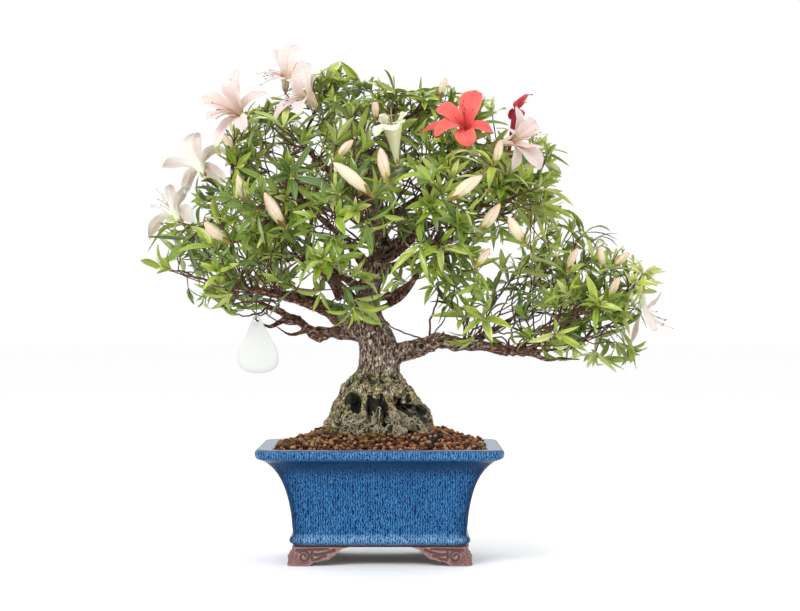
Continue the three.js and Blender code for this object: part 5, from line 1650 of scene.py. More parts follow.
def make_straws(soil_tree, wood_tree):
    """Bits of straw and dead fine root that lie about on the soil."""
    draw = np.random.default_rng(22)
    body = Body()
    while len(body.points) < STRAWS:
        x, y = draw.uniform(-0.95, 0.95, 2) * [SOIL_HALF_X, SOIL_HALF_Y]
        heading, bend, length = draw.uniform(0, 2 * math.pi), draw.normal(0, 0.08), draw.uniform(6, 18)
        line = []
        for step in np.arange(0, length, 1.5):
            heading += bend
            x, y = x + 1.5 * math.cos(heading), y + 1.5 * math.sin(heading)
            ground = dropped(soil_tree, x, y)
            if ground is None or gap_to(wood_tree, ground) < 4 * MM:
                break
            line.append(np.array(ground) + [0, 0, (3.4 + 0.8 * math.sin(step * 0.5)) * MM])
        if len(line) < 4 or not in_pot(x, y):
            continue
        colour = blend(ROOT_PALE, STRAW, draw.uniform(0, 1))
        body.add(*tube(np.array(line), draw.uniform(0.2, 0.4) * MM, 4), colour)
    add_piece(body.mesh("straws"), LOOKS["fine_root"])


def soil_is_covered(tree, place):
    """Whether a place lies inside the wood: straight up from it the first wall faces away."""
    hit = tree.ray_cast(place, UP)
    return hit[0] is not None and hit[1].z > 0


# Round cushions of moss on the soil, and the stretches of the wood that it grows on, with their half sizes.
MOSS = [
    {"x": -62, "y": -34, "spread": 20, "count": 260},
    {"x": -88, "y": -50, "spread": 11, "count": 150},
    {"x": -50, "y": -26, "spread": 10, "count": 160},
    {"x": -95, "y": 20, "spread": 12, "count": 110},
    {"x": 70, "y": 40, "spread": 20, "count": 120},
    {"x": 96, "y": -58, "spread": 6, "count": 60},
    {"x": -10, "y": -48, "spread": 16, "count": 70},
]
WOOD_MOSS = [
    {"x": -20, "z": 184, "half_x": 16, "half_z": 8, "count": 120},
    {"x": -6, "z": 178, "half_x": 18, "half_z": 7, "count": 90},
    {"x": -14, "z": 140, "half_x": 18, "half_z": 6, "count": 150},
    {"x": 48, "z": 160, "half_x": 6, "half_z": 9, "count": 60},
]


LEAFLET_WIDTH = 0.34 * MM
SOIL_TUFT, WOOD_TUFT = 2.4 * MM, 1.5 * MM


def add_tuft(body, place, outward, draw, tall):
    """A few pointed leaflets that stand out from a place."""
    tone = draw.uniform(0, 1)
    for _ in range(5):
        way = unit(outward + draw.normal(0, 0.55, 3))
        side = unit(np.cross(way, draw.normal(0, 1, 3)))
        third = np.cross(way, side)
        root = place + draw.normal(0, 0.5, 3) * MM
        height, width = tall * draw.uniform(0.6, 1.2), LEAFLET_WIDTH
        back, aside = root - 0.5 * side * width, third * width * 0.87
        corners = [root + side * width, back + aside, back - aside, root + way * height]
        body.add(corners, [np.array([[0, 2, 1], [0, 1, 3], [1, 2, 3], [2, 0, 3]])],
                 (np.clip(tone + draw.normal(0, 0.12), 0, 1), 0, 0, 1))


def make_moss(soil_tree, wood_tree):
    """Moss cushions on the soil and a thin fur of it on the roots."""
    draw = np.random.default_rng(33)
    body = Body()
    for patch in MOSS:
        for _ in range(patch["count"]):
            x = patch["x"] + draw.normal(0, patch["spread"] / 2)
            y = patch["y"] + draw.normal(0, patch["spread"] / 2)
            ground = dropped(soil_tree, x, y) if in_pot(x, y) else None
            if ground is not None:
                add_tuft(body, np.array(ground) + [0, 0, SOIL_TUFT], np.array(UP), draw, SOIL_TUFT)
    for patch in WOOD_MOSS:
        for k in range(patch["count"]):
            front = -1 if k % 3 else 1
            x = patch["x"] + patch["half_x"] * draw.uniform(-1, 1)
            z = patch["z"] + patch["half_z"] * draw.uniform(-1, 1)
            touch, outward, *_ = wood_tree.ray_cast(Vector(at(x, front * 90, z)), Vector((0, -front, 0)))
            if touch is not None:
                add_tuft(body, np.array(touch), np.array(outward), draw, WOOD_TUFT)
    add_piece(body.mesh("moss"), LOOKS["moss"])


# ---------------------------------------------------------------- pot and feet

RIM_HALF_X, RIM_HALF_Y = 120.8, 95.0
# Radii of the pot's corners, at the rim and down the wall, and how fast each falls with the distance inwards.
RIM_CORNER, RIM_FALL = 22.0, 0.75
WALL_CORNER, WALL_FALL = 7.5, 0.06
# How far in from the rim's edge the glaze has run thin and shows the clay.
RIM_WORN = 2.0
# The wall from the underside up over the lip and down inside: distance in from the rim's edge, and height.
WALL_OUTSIDE = [
    [36.8, 18], [36.8, 20], [33.4, 22.6], [32.8, 25], [33.6, 27.6], [36, 30.2], [35.2, 40], [34.1, 51],
    [31.2, 66], [26.8, 80], [20.4, 92], [11.6, 100.8], [6.2, 103.4], [2.2, 105], [0.4, 107.4], [0, 110],
    [0.5, 112.6], [2.2, 114.1],
]
WALL_INSIDE = [
    [5, 114.4], [10, 114.2], [15.5, 114], [17.3, 113], [17.8, 104], [29.6, 92], [36, 80], [39.8, 66],
    [43, 46], [44.2, 31], [47, 28],
]
CORNER_STEPS = 12
SIDE_STEPS = [16, 12]
DRAIN_X, DRAIN_RADIUS = 42.0, 10.0
DRAIN_HEIGHTS = [10, 23, 36]


def pot_ring(inset):
    """A rounded rectangle round the pot, clockwise seen from above, that many millimetres in from the rim."""
    half_x, half_y = RIM_HALF_X - inset, RIM_HALF_Y - inset
    points = []
    corner = max(RIM_CORNER - RIM_FALL * inset, WALL_CORNER - WALL_FALL * inset)
    for k, (sign_x, sign_y) in enumerate([(1, 1), (1, -1), (-1, -1), (-1, 1)]):
        turns = np.radians(90 - 90 * k - np.linspace(0, 90, CORNER_STEPS + 1))
        x = sign_x * (half_x - corner) + corner * np.cos(turns)
        y = sign_y * (half_y - corner) + corner * np.sin(turns)
        points.append(np.stack([x, y], 1))
    rows = []
    for k, corner_points in enumerate(points):
        ahead = points[(k + 1) % 4][0]
        share = np.linspace(0, 1, SIDE_STEPS[1 - k % 2] + 1)[1:-1, None]
        rows += [corner_points, corner_points[-1] + (ahead - corner_points[-1]) * share]
    return np.concatenate(rows)


def pot_paint(ring, inset, z, outer):
    """Four values for one ring of the pot: thin glaze on edges, painted shade, bare clay and the rim's flat
    top, which is painted paler as a reflection.
    """
    lip, moulding = smoothstep(z, 103.6, 105.6), 1 - smoothstep(z, 27.5, 32)
    under_lip = smoothstep(z, 84, 98) * (1 - smoothstep(z, 102.6, 105)) if outer else 1.0
    corner_x = smoothstep(np.abs(ring[:, 0]), RIM_HALF_X - inset - 10, RIM_HALF_X - inset - 2)
    corner_y = smoothstep(np.abs(ring[:, 1]), RIM_HALF_Y - inset - 10, RIM_HALF_Y - inset - 2)
    # The rim's flat top: painted paler as a painted reflection, with a worn band of bare clay near its edge.
    top = smoothstep(z, 113.0, 113.8)
    bare = 1 - smoothstep(z, 19.8, 20.6) if outer else 0.0
    bare = max(bare, 0.75 * math.exp(-(((inset - RIM_WORN) / 0.9) ** 2)) * top)
    edge = max(0.2 * lip, 0.95 * moulding) if outer else 0.3 * top
    # Painted shade: under the lip, all over the inner wall and where the sides turn at the corners.
    shade = np.clip(0.7 * under_lip + 0.75 * corner_x * corner_y, 0, 0.85) * (1 - top)
    return np.stack(np.broadcast_arrays(edge, shade, bare, top), 1)


def make_pot():
    """The glazed pot: flared walls, rounded lip and foot moulding, with two drain holes."""
    outside = curve_through([[*place, 0] for place in WALL_OUTSIDE], 1.2)
    inside = curve_through([[*place, 0] for place in WALL_INSIDE], 2.2)
    rows, paint = [], []
    for inset, z, _ in np.vstack([outside, inside]):
        ring = pot_ring(inset)
        rows.append(np.column_stack([ring, np.full(len(ring), z)]))
        paint.append(pot_paint(ring, inset, z, len(rows) <= len(outside)))
    columns = len(rows[0])
    points = at(0, 0, 0) + np.concatenate(rows) * MM
    wobble = field(points, 9, 11) * 0.35 * MM + field(points, 60, 12) * 0.1 * MM
    outward = unit(np.column_stack([points[:, :2] - POT_MIDDLE[:2], np.zeros(len(points))]))
    ends = np.arange(columns)
    last = (len(rows) - 1) * columns
    faces = [ring_faces(len(rows), columns)[:, ::-1], ends[None], last + ends[None, ::-1]]
    body, drains = Body(), Body()
    body.add(points + outward * wobble[:, None], faces, np.concatenate(paint))
    for side in (-1, 1):
        line = np.array([at(side * DRAIN_X, 0, z) for z in DRAIN_HEIGHTS])
        drains.add(*tube(line, DRAIN_RADIUS * MM, 32))
    drained = cut(body.mesh("pot_glazed"), drains.mesh("drains"), "pot_glazed")
    add_piece(drained, LOOKS["glaze"], ["pot"], crease=50)


FOOT_VOXEL = 0.85 * MM
SCROLL_MIDDLE = [16.5, 9.2]
SCROLL_RADII = [5.6, 1.8]
GROOVE_DEEP = 1.35 * MM
GROOVE_HALF_WIDTH = 1.5
BOSS_HIGH = 1.7 * MM
# Carving goes no further in than this from the foot's outermost place.
FACE_DEEP = 7


# The scroll's carved lines apart from its spiral, on the same face: in from the corner, and height.
SCROLL_LINES = [
    [[24.5, 14.2, 0], [24.2, 9.5, 0], [25.6, 5.6, 0]],
    [[26.5, 11.4, 0], [31, 10.8, 0], [38, 13, 0], [46, 15.6, 0]],
    [[27.5, 6.2, 0], [31, 7.2, 0], [34, 9.6, 0], [37.5, 10.4, 0]],
    [[6.5, 15.6, 0], [22, 16, 0], [40, 16.8, 0]],
]
SPIRAL_STEPS, SPIRAL_START, SPIRAL_TURN = 60, 0.9, 2.7 * math.pi


def scroll_lines():
    """The cloud scroll carved on a foot's face: distance in from the corner, and height."""
    turns = np.linspace(SPIRAL_START, SPIRAL_START + SPIRAL_TURN, SPIRAL_STEPS)
    radii = np.linspace(*SCROLL_RADII, SPIRAL_STEPS)
    spiral = np.stack([SCROLL_MIDDLE[0] - radii * np.cos(turns), SCROLL_MIDDLE[1] + radii * np.sin(turns)], 1)
    return [spiral, *[curve_through(line, 0.5)[:, :2] for line in SCROLL_LINES]]


def scroll_dome(places):
    """The rounded boss inside the scroll, from 0 to 1."""
    reach = np.linalg.norm(places - SCROLL_MIDDLE, axis=1) / (SCROLL_RADII[0] + 0.6)
    return np.clip(1 - reach**4, 0, 1)


def groove_depth(places, lines):
    """How deep a groove is cut at each place on a face, from 0 to 1."""
    distance = np.full(len(places), 99.0)
    for point in np.concatenate(lines):
        distance = np.minimum(distance, np.linalg.norm(places - point, axis=1))
    return np.exp(-((distance / GROOVE_HALF_WIDTH) ** 2))


def make_feet():
    """Four unglazed feet, with a cloud scroll carved on their outer faces."""
    for name in ("foot_front_left", "foot_front_right", "foot_back_left", "foot_back_right"):
        make_foot(name, scroll_lines())


def make_foot(name, lines):
    skin = remeshed(name + "_carved", [merged(name)], FOOT_VOXEL)
    points = relaxed(skin, coordinates(skin), 3)
    set_coordinates(skin, points)
    ways = normals(skin)
    place = (points - POT_MIDDLE) / MM
    sides = np.sign(place[:, :2].mean(0))
    inward = np.abs(place[:, :2]).max(0) - np.abs(place[:, :2])
    groove, dome = np.zeros(len(points)), np.zeros(len(points))
    for across, outward in ((0, 1), (1, 0)):
        on_face = smoothstep(ways[:, outward] * sides[outward], 0.7, 0.9) * (inward[:, outward] < FACE_DEEP)
        on_plane = np.stack([inward[:, across], place[:, 2]], 1)
        groove = np.maximum(groove, on_face * groove_depth(on_plane, lines))
        dome = np.maximum(dome, on_face * scroll_dome(on_plane))
    rough = (field(points, 260, 13) * 0.15 + field(points, 90, 14) * 0.3) * MM
    rough = rough * smoothstep(place[:, 2], 0.5, 3)
    points = points + ways * (rough - GROOVE_DEEP * groove + BOSS_HIGH * dome)[:, None]
    points[:, 2] = np.maximum(points[:, 2], 0)
    set_coordinates(skin, points)
    # Painted highlight where the surface stands out from its neighbours, and painted shade in the grooves.
    raised = dot(points - relaxed(skin, points, 12), normals(skin))[:, 0]
    edge = np.clip(raised / (0.5 * MM), 0, 1)
    paint_mesh(skin, np.stack([groove, edge, 0 * groove, 1 + 0 * groove], 1))
    add_piece(skin, LOOKS["clay"], [name], crease=60)


# ---------------------------------------------------------------- blooms

# The foot and the mouth of each flower's tube, where its stamens point, and every petal's tip and half width.
BLOOMS = {
    "pale_left": {"foot": [-128, -35, 427], "mouth": [-138, -53, 440], "aim": [-164, -84, 443],
        "petals": [[-141, -46, 486, 7.6], [-145, -72, 471, 10.5], [-172, -64, 457, 8.2],
                   [-166, -82, 434, 8.2], [-161, -66, 406, 7.0], [-130, -74, 423, 7.0],
                   [-111, -40, 464, 7.0]]},
    "pale_top": {"foot": [-95, 0, 467], "mouth": [-94, -14, 480], "aim": [-116, -40, 480],
        "petals": [[-106, -2, 510, 5.4], [-85, -6, 515, 9.4], [-69, -16, 494, 7.7],
                   [-74, -44, 468, 8.4], [-104, -36, 477, 6.6]]},
    "pale_side": {"foot": [-59, -35, 443], "mouth": [-70, -46, 457], "aim": [-96, -62, 454],
        "petals": [[-69, -36, 492, 5.8], [-85, -56, 472, 7.7], [-105, -56, 431, 7.5],
                   [-57, -28, 482, 4.9], [-78, -78, 438, 7.7]]},
    "white_left": {"foot": [-175, 0, 380], "mouth": [-182, 10, 393], "aim": [-192, 40, 407],
        "petals": [[-186, 10, 428, 10.1], [-221, 10, 394, 8.2], [-155, 14, 411, 8.4],
                   [-156, 22, 378, 8.4], [-199, 24, 366, 7.7]]},
    "white_low": {"foot": [-199, 12, 335], "mouth": [-209, 22, 347], "aim": [-226, 46, 365],
        "petals": [[-214, 18, 376, 6.6], [-194, 22, 375, 7.5], [-187, 26, 338, 9.1],
                   [-236, 22, 320, 8.2], [-233, 36, 355, 6.8]]},
    "cream_trumpet": {"foot": [17, -75, 388], "mouth": [12, -84, 426], "aim": [10, -92, 438],
        "petals": [[25, -82, 440, 8.2], [3, -82, 437, 8.2], [-5, -96, 415, 8.2],
                   [11, -106, 421, 9.9], [22, -98, 429, 7.0]]},
    "pale_right": {"foot": [111, -50, 410], "mouth": [130, -68, 413], "aim": [154, -98, 415],
        "petals": [[134, -58, 448, 5.8], [153, -66, 432, 9.8], [114, -52, 428, 7.0],
                   [129, -72, 383, 6.3], [158, -70, 385, 10.1], [156, -90, 406, 7.7]]},
    "coral": {"foot": [83, -45, 409], "mouth": [83, -62, 426], "aim": [79, -84, 447],
        "petals": [[55, -62, 447, 9.8], [94, -54, 465, 11.0], [111, -60, 423, 7.5],
                   [85, -80, 406, 10.1], [52, -80, 417, 8.2], [38, -56, 422, 5.1]]},
    "crimson": {"foot": [128, 12, 401], "mouth": [136, 15, 449], "aim": [142, 22, 456],
        "petals": [[153, 26, 468, 6.6], [130, 20, 441, 4.4], [143, 4, 443, 4.0], [146, 36, 460, 6.0]]},
    "pale_far_right": {"foot": [263, 12, 274], "mouth": [264, 16, 252], "aim": [290, 20, 234],
        "petals": [[285, 14, 265, 8.9], [276, 12, 226, 8.2], [252, 20, 213, 6.6], [249, 26, 245, 7.5]]},
}
BLOOM_SLOTS = {"cream_trumpet": "petal_cream", "coral": "petal_coral", "crimson": "petal_crimson"}
# The looks of the petals: a whiter copy, painted lighter, where a flower is seen from the back with the light
# behind it.
BLOOM_LOOKS = {**BLOOM_SLOTS, "white_left": "petal_white_backlit", "white_low": "petal_white_backlit",
               "pale_far_right": "petal_white_backlit"}
# The radius of the tube's mouth, where it isn't the usual one.
BLOOM_FLARES = {"cream_trumpet": 10.0, "pale_side": 6.6, "pale_far_right": 4.6, "crimson": 3.2}
PETAL_ROWS, PETAL_COLUMNS = 26, 11
PETAL_THICK = 0.3
# The share of a petal's rows that the flower's tube takes, and the tube's radii at its foot and its mouth.
TUBE_SHARE = 0.36
TUBE_RADII = [1.6, 5.6]
STAMENS, STAMEN_STEPS = 6, 12
STAMEN_RADII = [0.42, 0.26]
ANTHER_SIZES, STIGMA_SIZES = np.array([0.55, 0.55, 1.3]), np.array([0.55, 0.55, 0.5])
# Colours of the filaments and the anthers, where they differ from those of pale flowers.
FILAMENT_COLOURS = {
    "coral": [rgb(236, 96, 96), rgb(70, 34, 30)],
    "crimson": [rgb(196, 60, 66), rgb(70, 34, 30)],
}
PALE_FILAMENT = [rgb(240, 206, 184), rgb(112, 76, 52)]
STALK = rgb(150, 130, 74)
STALK_PLACES, STALK_RADII = np.array([-3.5, -1, 1.5]), np.array([1.0, 1.1, 1.5]) * MM
SEPAL_COLOURS = [rgb(168, 184, 72), rgb(196, 186, 92), rgb(156, 128, 70)]
# A sepal's rows: how far along the tube, how far out from its middle, and the half width.
SEPAL_ROWS = [[-0.4, 1.2, 1.1], [2.4, 2.3, 1.5], [5.2, 3.1, 1.1], [8, 4.0, 0.12]]
SEPAL_THICK = 0.45


class Flower:
    """A flower's own directions: along its tube, from the foot to the mouth, and round it."""

    def __init__(self, name, design):
        self.foot = np.array(design["foot"], float)
        tube_line = np.array(design["mouth"]) - self.foot
        self.length = float(np.linalg.norm(tube_line))
        self.way = tube_line / self.length
        self.flare = BLOOM_FLARES.get(name, TUBE_RADII[1])
        up = np.array([0, -1, 0]) if abs(self.way[2]) > 0.95 else np.array([0, 0, 1])
        self.first = unit(up - self.way * (up @ self.way))
        self.second = np.cross(self.way, self.first)

    def radial(self, turn):
        return circle(turn, self.first, self.second)

    def place(self, forward, out, radial):
        forward, out = np.asarray(forward)[..., None], np.asarray(out)[..., None]
        return self.foot + self.way * forward + radial * out


def bezier(a, b, c, t):
    return a * (1 - t) ** 2 + 2 * b * t * (1 - t) + c * t**2


def petals_in_order(flower, petals):
    """The petals round the flower: each one's tip, half width, turn and own sector of the tube."""
    tips = np.array([petal[:3] for petal in petals], float)
    away = tips - flower.foot
    turns = np.arctan2(away @ flower.second, away @ flower.first)
    order = np.argsort(turns)
    turns = turns[order]
    halfway = (turns + np.append(turns[1:], turns[0] + 2 * math.pi)) / 2
    before = np.append(halfway[-1] - 2 * math.pi, halfway[:-1])
    return [(tips[k], petals[k][3], turn, (low, high))
            for k, turn, low, high in zip(order, turns, before, halfway)]


def petal_strip(flower, s, v, tip, half, turn, draw):
    """The free part of a petal, cupped, ruffled and swaying, as places in s along and v across it."""
    radial = flower.radial(turn)
    side = np.cross(flower.way, radial)
    t = np.clip((s - TUBE_SHARE) / (1 - TUBE_SHARE), 0, 1)[..., None]
    start = flower.place(flower.length, flower.flare * 0.95, radial)
    reach = np.linalg.norm(tip - start)
    bend = start + flower.way * reach * 0.4 + (tip - start) * 0.3
    line = bezier(start, bend, tip, t)
    way = unit(2 * (bend - start) * (1 - t) + 2 * (tip - bend) * t)
    side = unit(side - way * dot(side, way))
    face = np.cross(way, side)
    share = t[..., 0]
    width = half * (0.58 + 0.42 * smoothstep(share, 0, 0.5)) * draw.uniform(0.95, 1.06)
    width = width * np.clip(1 - (np.clip(share - 0.56, 0, 1) / 0.44) ** 2.4, 0.002, 1) ** 0.56
    # Two numbers are drawn and one is used: without the other, all later draws would change.
    phase, _ = draw.uniform(0, 1, 2)
    ruffle = np.sin(2 * math.pi * (1.7 * share + phase + 0.22 * np.sign(v))) * 0.09 * half * np.abs(v) ** 2
    ruffle = ruffle * smoothstep(share, 0.1, 0.45)
    cup = 0.26 * half * v**2 * (1 - 1.2 * share) - 0.09 * half * np.exp(-((v / 0.2) ** 2))
    curl = -0.22 * half * smoothstep(share, 0.72, 1.0) ** 2
    strip = line + side * (width * v)[..., None] + face * (ruffle + cup + curl)[..., None]
    sway = draw.normal(0, 0.16 * half, 2) * np.sin(math.pi * share)[..., None]
    strip += face * sway[..., :1] + side * sway[..., 1:]
    return strip


def add_petal(body, flower, tip, half, turn, sector, draw):
    """One lobe of the corolla: a strip that starts as its share of the tube and opens into a petal."""
    s = np.linspace(0, 1, PETAL_ROWS)[:, None]
    v = np.linspace(-1, 1, PETAL_COLUMNS)[None]
    radius = TUBE_RADII[0] + (flower.flare - TUBE_RADII[0]) * np.clip(s / TUBE_SHARE, 0, 1) ** 1.4
    around = flower.radial(sum(sector) / 2 + v * (sector[1] - sector[0]) / 2 + 0 * s)
    in_tube = flower.place(flower.length * s / TUBE_SHARE + 0 * v, radius + 0 * v, around)
    in_petal = petal_strip(flower, s, v, tip, half, turn, draw)
    blend_share = smoothstep(s, TUBE_SHARE * 0.75, TUBE_SHARE * 1.35)[..., None]
    grid = in_tube * (1 - blend_share) + in_petal * blend_share
    inner = unit(np.cross(np.gradient(grid, axis=0), np.gradient(grid, axis=1)))
    back = grid - inner * PETAL_THICK * (1.15 - 0.75 * np.abs(v)[..., None])
    paint = np.zeros((2, *grid.shape[:2], 4))
    paint[..., 0] = draw.uniform(0, 1)
    paint[..., 1] = s
    paint[..., 2] = np.abs(v)
    # Freckles only inside the topmost petals.
    paint[0, ..., 3] = flower.radial(turn)[2] > 0.55
    points = at(0, 0, 0) + np.concatenate([grid.reshape(-1, 3), back.reshape(-1, 3)]) * MM
    body.add(points, sheet_faces(PETAL_ROWS, PETAL_COLUMNS, flipped=True), paint.reshape(-1, 4))


def add_stamens(body, flower, aim, colours, draw):
    """Filaments that bow out of the tube, with an anther on each, and a longer style."""
    filament, anther = colours
    for k in range(STAMENS + 1):
        is_style = k == STAMENS
        radial = flower.radial(2 * math.pi * (k + 0.3) / STAMENS)
        start = flower.place(flower.length * 0.4, 0.6, radial)
        end = np.array(aim) + draw.normal(0, 1.5 if is_style else 4.5, 3)
        end = start + (end - start) * (1.15 if is_style else draw.uniform(0.75, 1.0))
        middle = flower.place(flower.length + 0.25 * np.linalg.norm(end - start), 1.2, radial)
        line = bezier(start, middle, end, np.linspace(0, 1, STAMEN_STEPS)[:, None])
        line = at(0, 0, 0) + line * MM
        body.add(*tube(line, np.linspace(*STAMEN_RADII, STAMEN_STEPS) * MM, 5), filament)
        points, faces = icosphere(1)
        way = unit(line[-1] - line[-2])
        sizes = STIGMA_SIZES if is_style else ANTHER_SIZES
        axis = unit(np.cross(way, draw.normal(0, 1, 3)))
        square = np.stack([axis, np.cross(way, axis), way])
        body.add(line[-1] + (points * sizes * MM) @ square, [faces], anther)


def add_calyx(body, flower, draw):
    """The flower's stalk and the small green sepals at its foot."""
    line = np.array([at(*(flower.foot + flower.way * forward)) for forward in STALK_PLACES])
    body.add(*tube(line, STALK_RADII, 8), STALK)
    for k in range(5):
        radial = flower.radial(2 * math.pi * (k + draw.uniform(-0.1, 0.1)) / 5)
        side = np.cross(flower.way, radial)
        green = SEPAL_COLOURS[draw.integers(3)]
        rows = np.array(SEPAL_ROWS)
        rows[1:, 0] *= draw.uniform(0.8, 1.15)
        outer = [flower.place(f, o, radial) + side * w * sign for f, o, w in rows for sign in (-1, 1)]
        inner = [point - radial * SEPAL_THICK for point in outer]
        points = at(0, 0, 0) + np.array(outer + inner) * MM
        faces = []
        for a in (0, 2, 4):
            faces += [[a, a + 1, a + 3, a + 2], [a + 8, a + 10, a + 11, a + 9],
                      [a, a + 2, a + 10, a + 8], [a + 1, a + 9, a + 11, a + 3]]
        faces += [[0, 8, 9, 1], [6, 7, 15, 14]]
        body.add(points, [np.array(faces)], green)


def make_blooms():
    corollas = []
    for k, (name, design) in enumerate(BLOOMS.items()):
        draw = np.random.default_rng(300 + k)
        flower = Flower(name, design)
        corolla, inside, calyx = Body(), Body(), Body()
        for tip, half, turn, sector in petals_in_order(flower, design["petals"]):
            add_petal(corolla, flower, tip, half, turn, sector, draw)
        add_stamens(inside, flower, design["aim"], FILAMENT_COLOURS.get(name, PALE_FILAMENT), draw)
        add_calyx(calyx, flower, draw)
        slot = BLOOM_SLOTS.get(name, "petal_pale")
        look = LOOKS[BLOOM_LOOKS.get(name, slot)]
        node = "bloom_" + name
        corollas.append(add_piece(corolla.mesh("petals_" + name), look, [node], crease=70))
        add_piece(inside.mesh("stamens_" + name), LOOKS["filament"], [node])
        add_piece(calyx.mesh("calyx_" + name), LOOKS["calyx"], [node], crease=50)
    return corollas


# ---------------------------------------------------------------- buds

BUD_ROWS, BUD_COLUMNS = 24, 45
# A bud's girth along it: the share of its length, and the share of its greatest radius.
BUD_SWELL = [
    [0, 0.24], [0.1, 0.42], [0.28, 0.76], [0.52, 1.0], [0.72, 0.9], [0.88, 0.55], [0.97, 0.24], [1, 0.05],
]
BUD_FOLDS = 5
BUD_SCALES = 7
SCALE_COLOURS = np.array([rgb(196, 204, 84), rgb(212, 190, 106), rgb(168, 122, 70)])
# Half the angle that a scale takes round the bud, row by row.
SCALE_HALVES = np.array([0.55, 0.62, 0.5, 0.3, 0.04])
BUDS = 18
# Corners of a bud's solid this close to one of its ends count as that end's crowd, greater at the foot.
END_REACH = 3.6 * MM


def read_bud(name):
    """A bud's foot, tip and greatest radius, read from its solid."""
    points = np.unique(np.round([tuple(v.co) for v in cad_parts[name].data.vertices], 5), axis=0)
    spans = np.linalg.norm(points[:, None] - points[None], axis=2)
    a, b = np.unravel_index(int(spans.argmax()), spans.shape)
    crowd = (spans < END_REACH).sum(1)
    tip, foot = (a, b) if crowd[a] < crowd[b] else (b, a)
    foot_place = points[spans[foot] < END_REACH].mean(0)
    axis = unit(points[tip] - foot_place)
    off_axis = points - foot_place
    radius = np.linalg.norm(off_axis - dot(off_axis, axis) * axis, axis=1).max()
    return foot_place, points[tip], radius


def add_scale(body, middle, square, radii, turn, draw):
    """A pointed scale that hugs a bud from its foot and parts from it a little at the tip."""
    rows = len(SCALE_HALVES)
    reach = draw.uniform(0.2, 0.38)
    share = np.linspace(0, 1, rows)
    stations = np.linspace(0, 1, len(middle))
    centre = np.stack([np.interp(share * reach, stations, column) for column in middle.T], 1)
    out = np.interp(share * reach, stations, radii) + (0.35 + 0.7 * share**2) * MM
    half = SCALE_HALVES * draw.uniform(0.85, 1.1)
    around = circle(turn + half[:, None] * np.array([-1, 0, 1]), *square)
    outer = centre[:, None] + around * out[:, None, None]
    inner = outer - around * 0.3 * MM
    foot_colour, tip_colour = SCALE_COLOURS[draw.integers(3)], SCALE_COLOURS[draw.integers(3)]
    shade = np.tile(np.repeat(share, 3), 2)[:, None]
    points = np.concatenate([outer.reshape(-1, 3), inner.reshape(-1, 3)])
    body.add(points, sheet_faces(rows, 3), blend(tip_colour, foot_colour, shade))


def make_bud(name, draw):
    """A closed flower bud: petals wrapped round each other in a slow spiral, with scales at its foot."""
    foot, tip, radius = read_bud(name)
    way = unit(tip - foot)
    first = unit(np.cross(way, [0.3, 0.9, 0.2]))
    second = np.cross(way, first)
    t = np.linspace(0, 1, BUD_ROWS)
    swell = np.interp(t, *np.array(BUD_SWELL).T)
    turns = even_turns(BUD_COLUMNS)
    spiral = BUD_FOLDS * (turns[None] + 1.1 * t[:, None])
    saw = (spiral / (2 * math.pi)) % 1
    fold = np.clip((saw - 0.78) / 0.22, 0, 1)
    size = radius * swell[:, None] * (0.9 + 0.16 * saw - 0.2 * fold**2)
    around = circle(turns, first, second)
    bow = unit(draw.normal(0, 1, 3)) * np.linalg.norm(tip - foot) * 0.04
    middle = foot + (tip - foot) * t[:, None] + bow * np.sin(math.pi * t)[:, None]
    points = middle[:, None] + around[None] * size[..., None]
    none = 0 * saw
    shade, along, open_fold = draw.uniform(0, 1) + none, t[:, None] + none, fold * (t[:, None] < 0.97)
    paint = np.stack([shade, along, open_fold, 1 + none], -1)
    ends = np.arange(BUD_COLUMNS)
    body = Body()
    faces = [ring_faces(BUD_ROWS, BUD_COLUMNS), ends[None, ::-1], (BUD_ROWS - 1) * BUD_COLUMNS + ends[None]]
    body.add(points.reshape(-1, 3), faces, paint.reshape(-1, 4))
    add_piece(body.mesh(name + "_petals"), LOOKS["bud"], [name], crease=60)
    scales = Body()
    scales.add(*tube(foot + way * STALK_PLACES[:, None] * MM, STALK_RADII, 8), STALK)
    for k in range(BUD_SCALES):
        turn = LEAF_TURN * k + draw.uniform(-0.2, 0.2)
        add_scale(scales, middle, [first, second], radius * swell, turn, draw)
    add_piece(scales.mesh(name + "_scales"), LOOKS["calyx"], [name], crease=50)


def make_buds():
    for k in range(1, BUDS + 1):
        make_bud(f"bud_{k:02d}", np.random.default_rng(500 + k))


# ---------------------------------------------------------------- label, wire, soil bed and drain screens

LABEL_TOP = [-122.5, -22, 240]
LABEL_HOLE = [0, -1.5, 2.6]
LABEL_THICK = 0.8
# Across and up: the edge of the drop from its top clockwise, four places for each bend.
LABEL_BENDS = [
    [[-3, 2], [-1.5, 3.6], [1.5, 3.6], [3, 2]],
    [[3, 2], [6.5, -4.5], [10.4, -11.5], [14, -18]],
    [[14, -18], [26, -38], [26, -54], [2, -54]],
    [[2, -54], [-24, -54], [-22, -36], [-11, -18]],
    [[-11, -18], [-8.4, -11.5], [-5.6, -4.5], [-3, 2]],
]
LABEL_WELD = 1e-6


def label_edge():
    share = np.linspace(0, 1, 14, endpoint=False)[:, None]
    rest = 1 - share
    bends = [a * rest**3 + 3 * b * share * rest**2 + 3 * c * share**2 * rest + d * share**3
             for a, b, c, d in np.array(LABEL_BENDS, float)]
    return np.concatenate(bends)


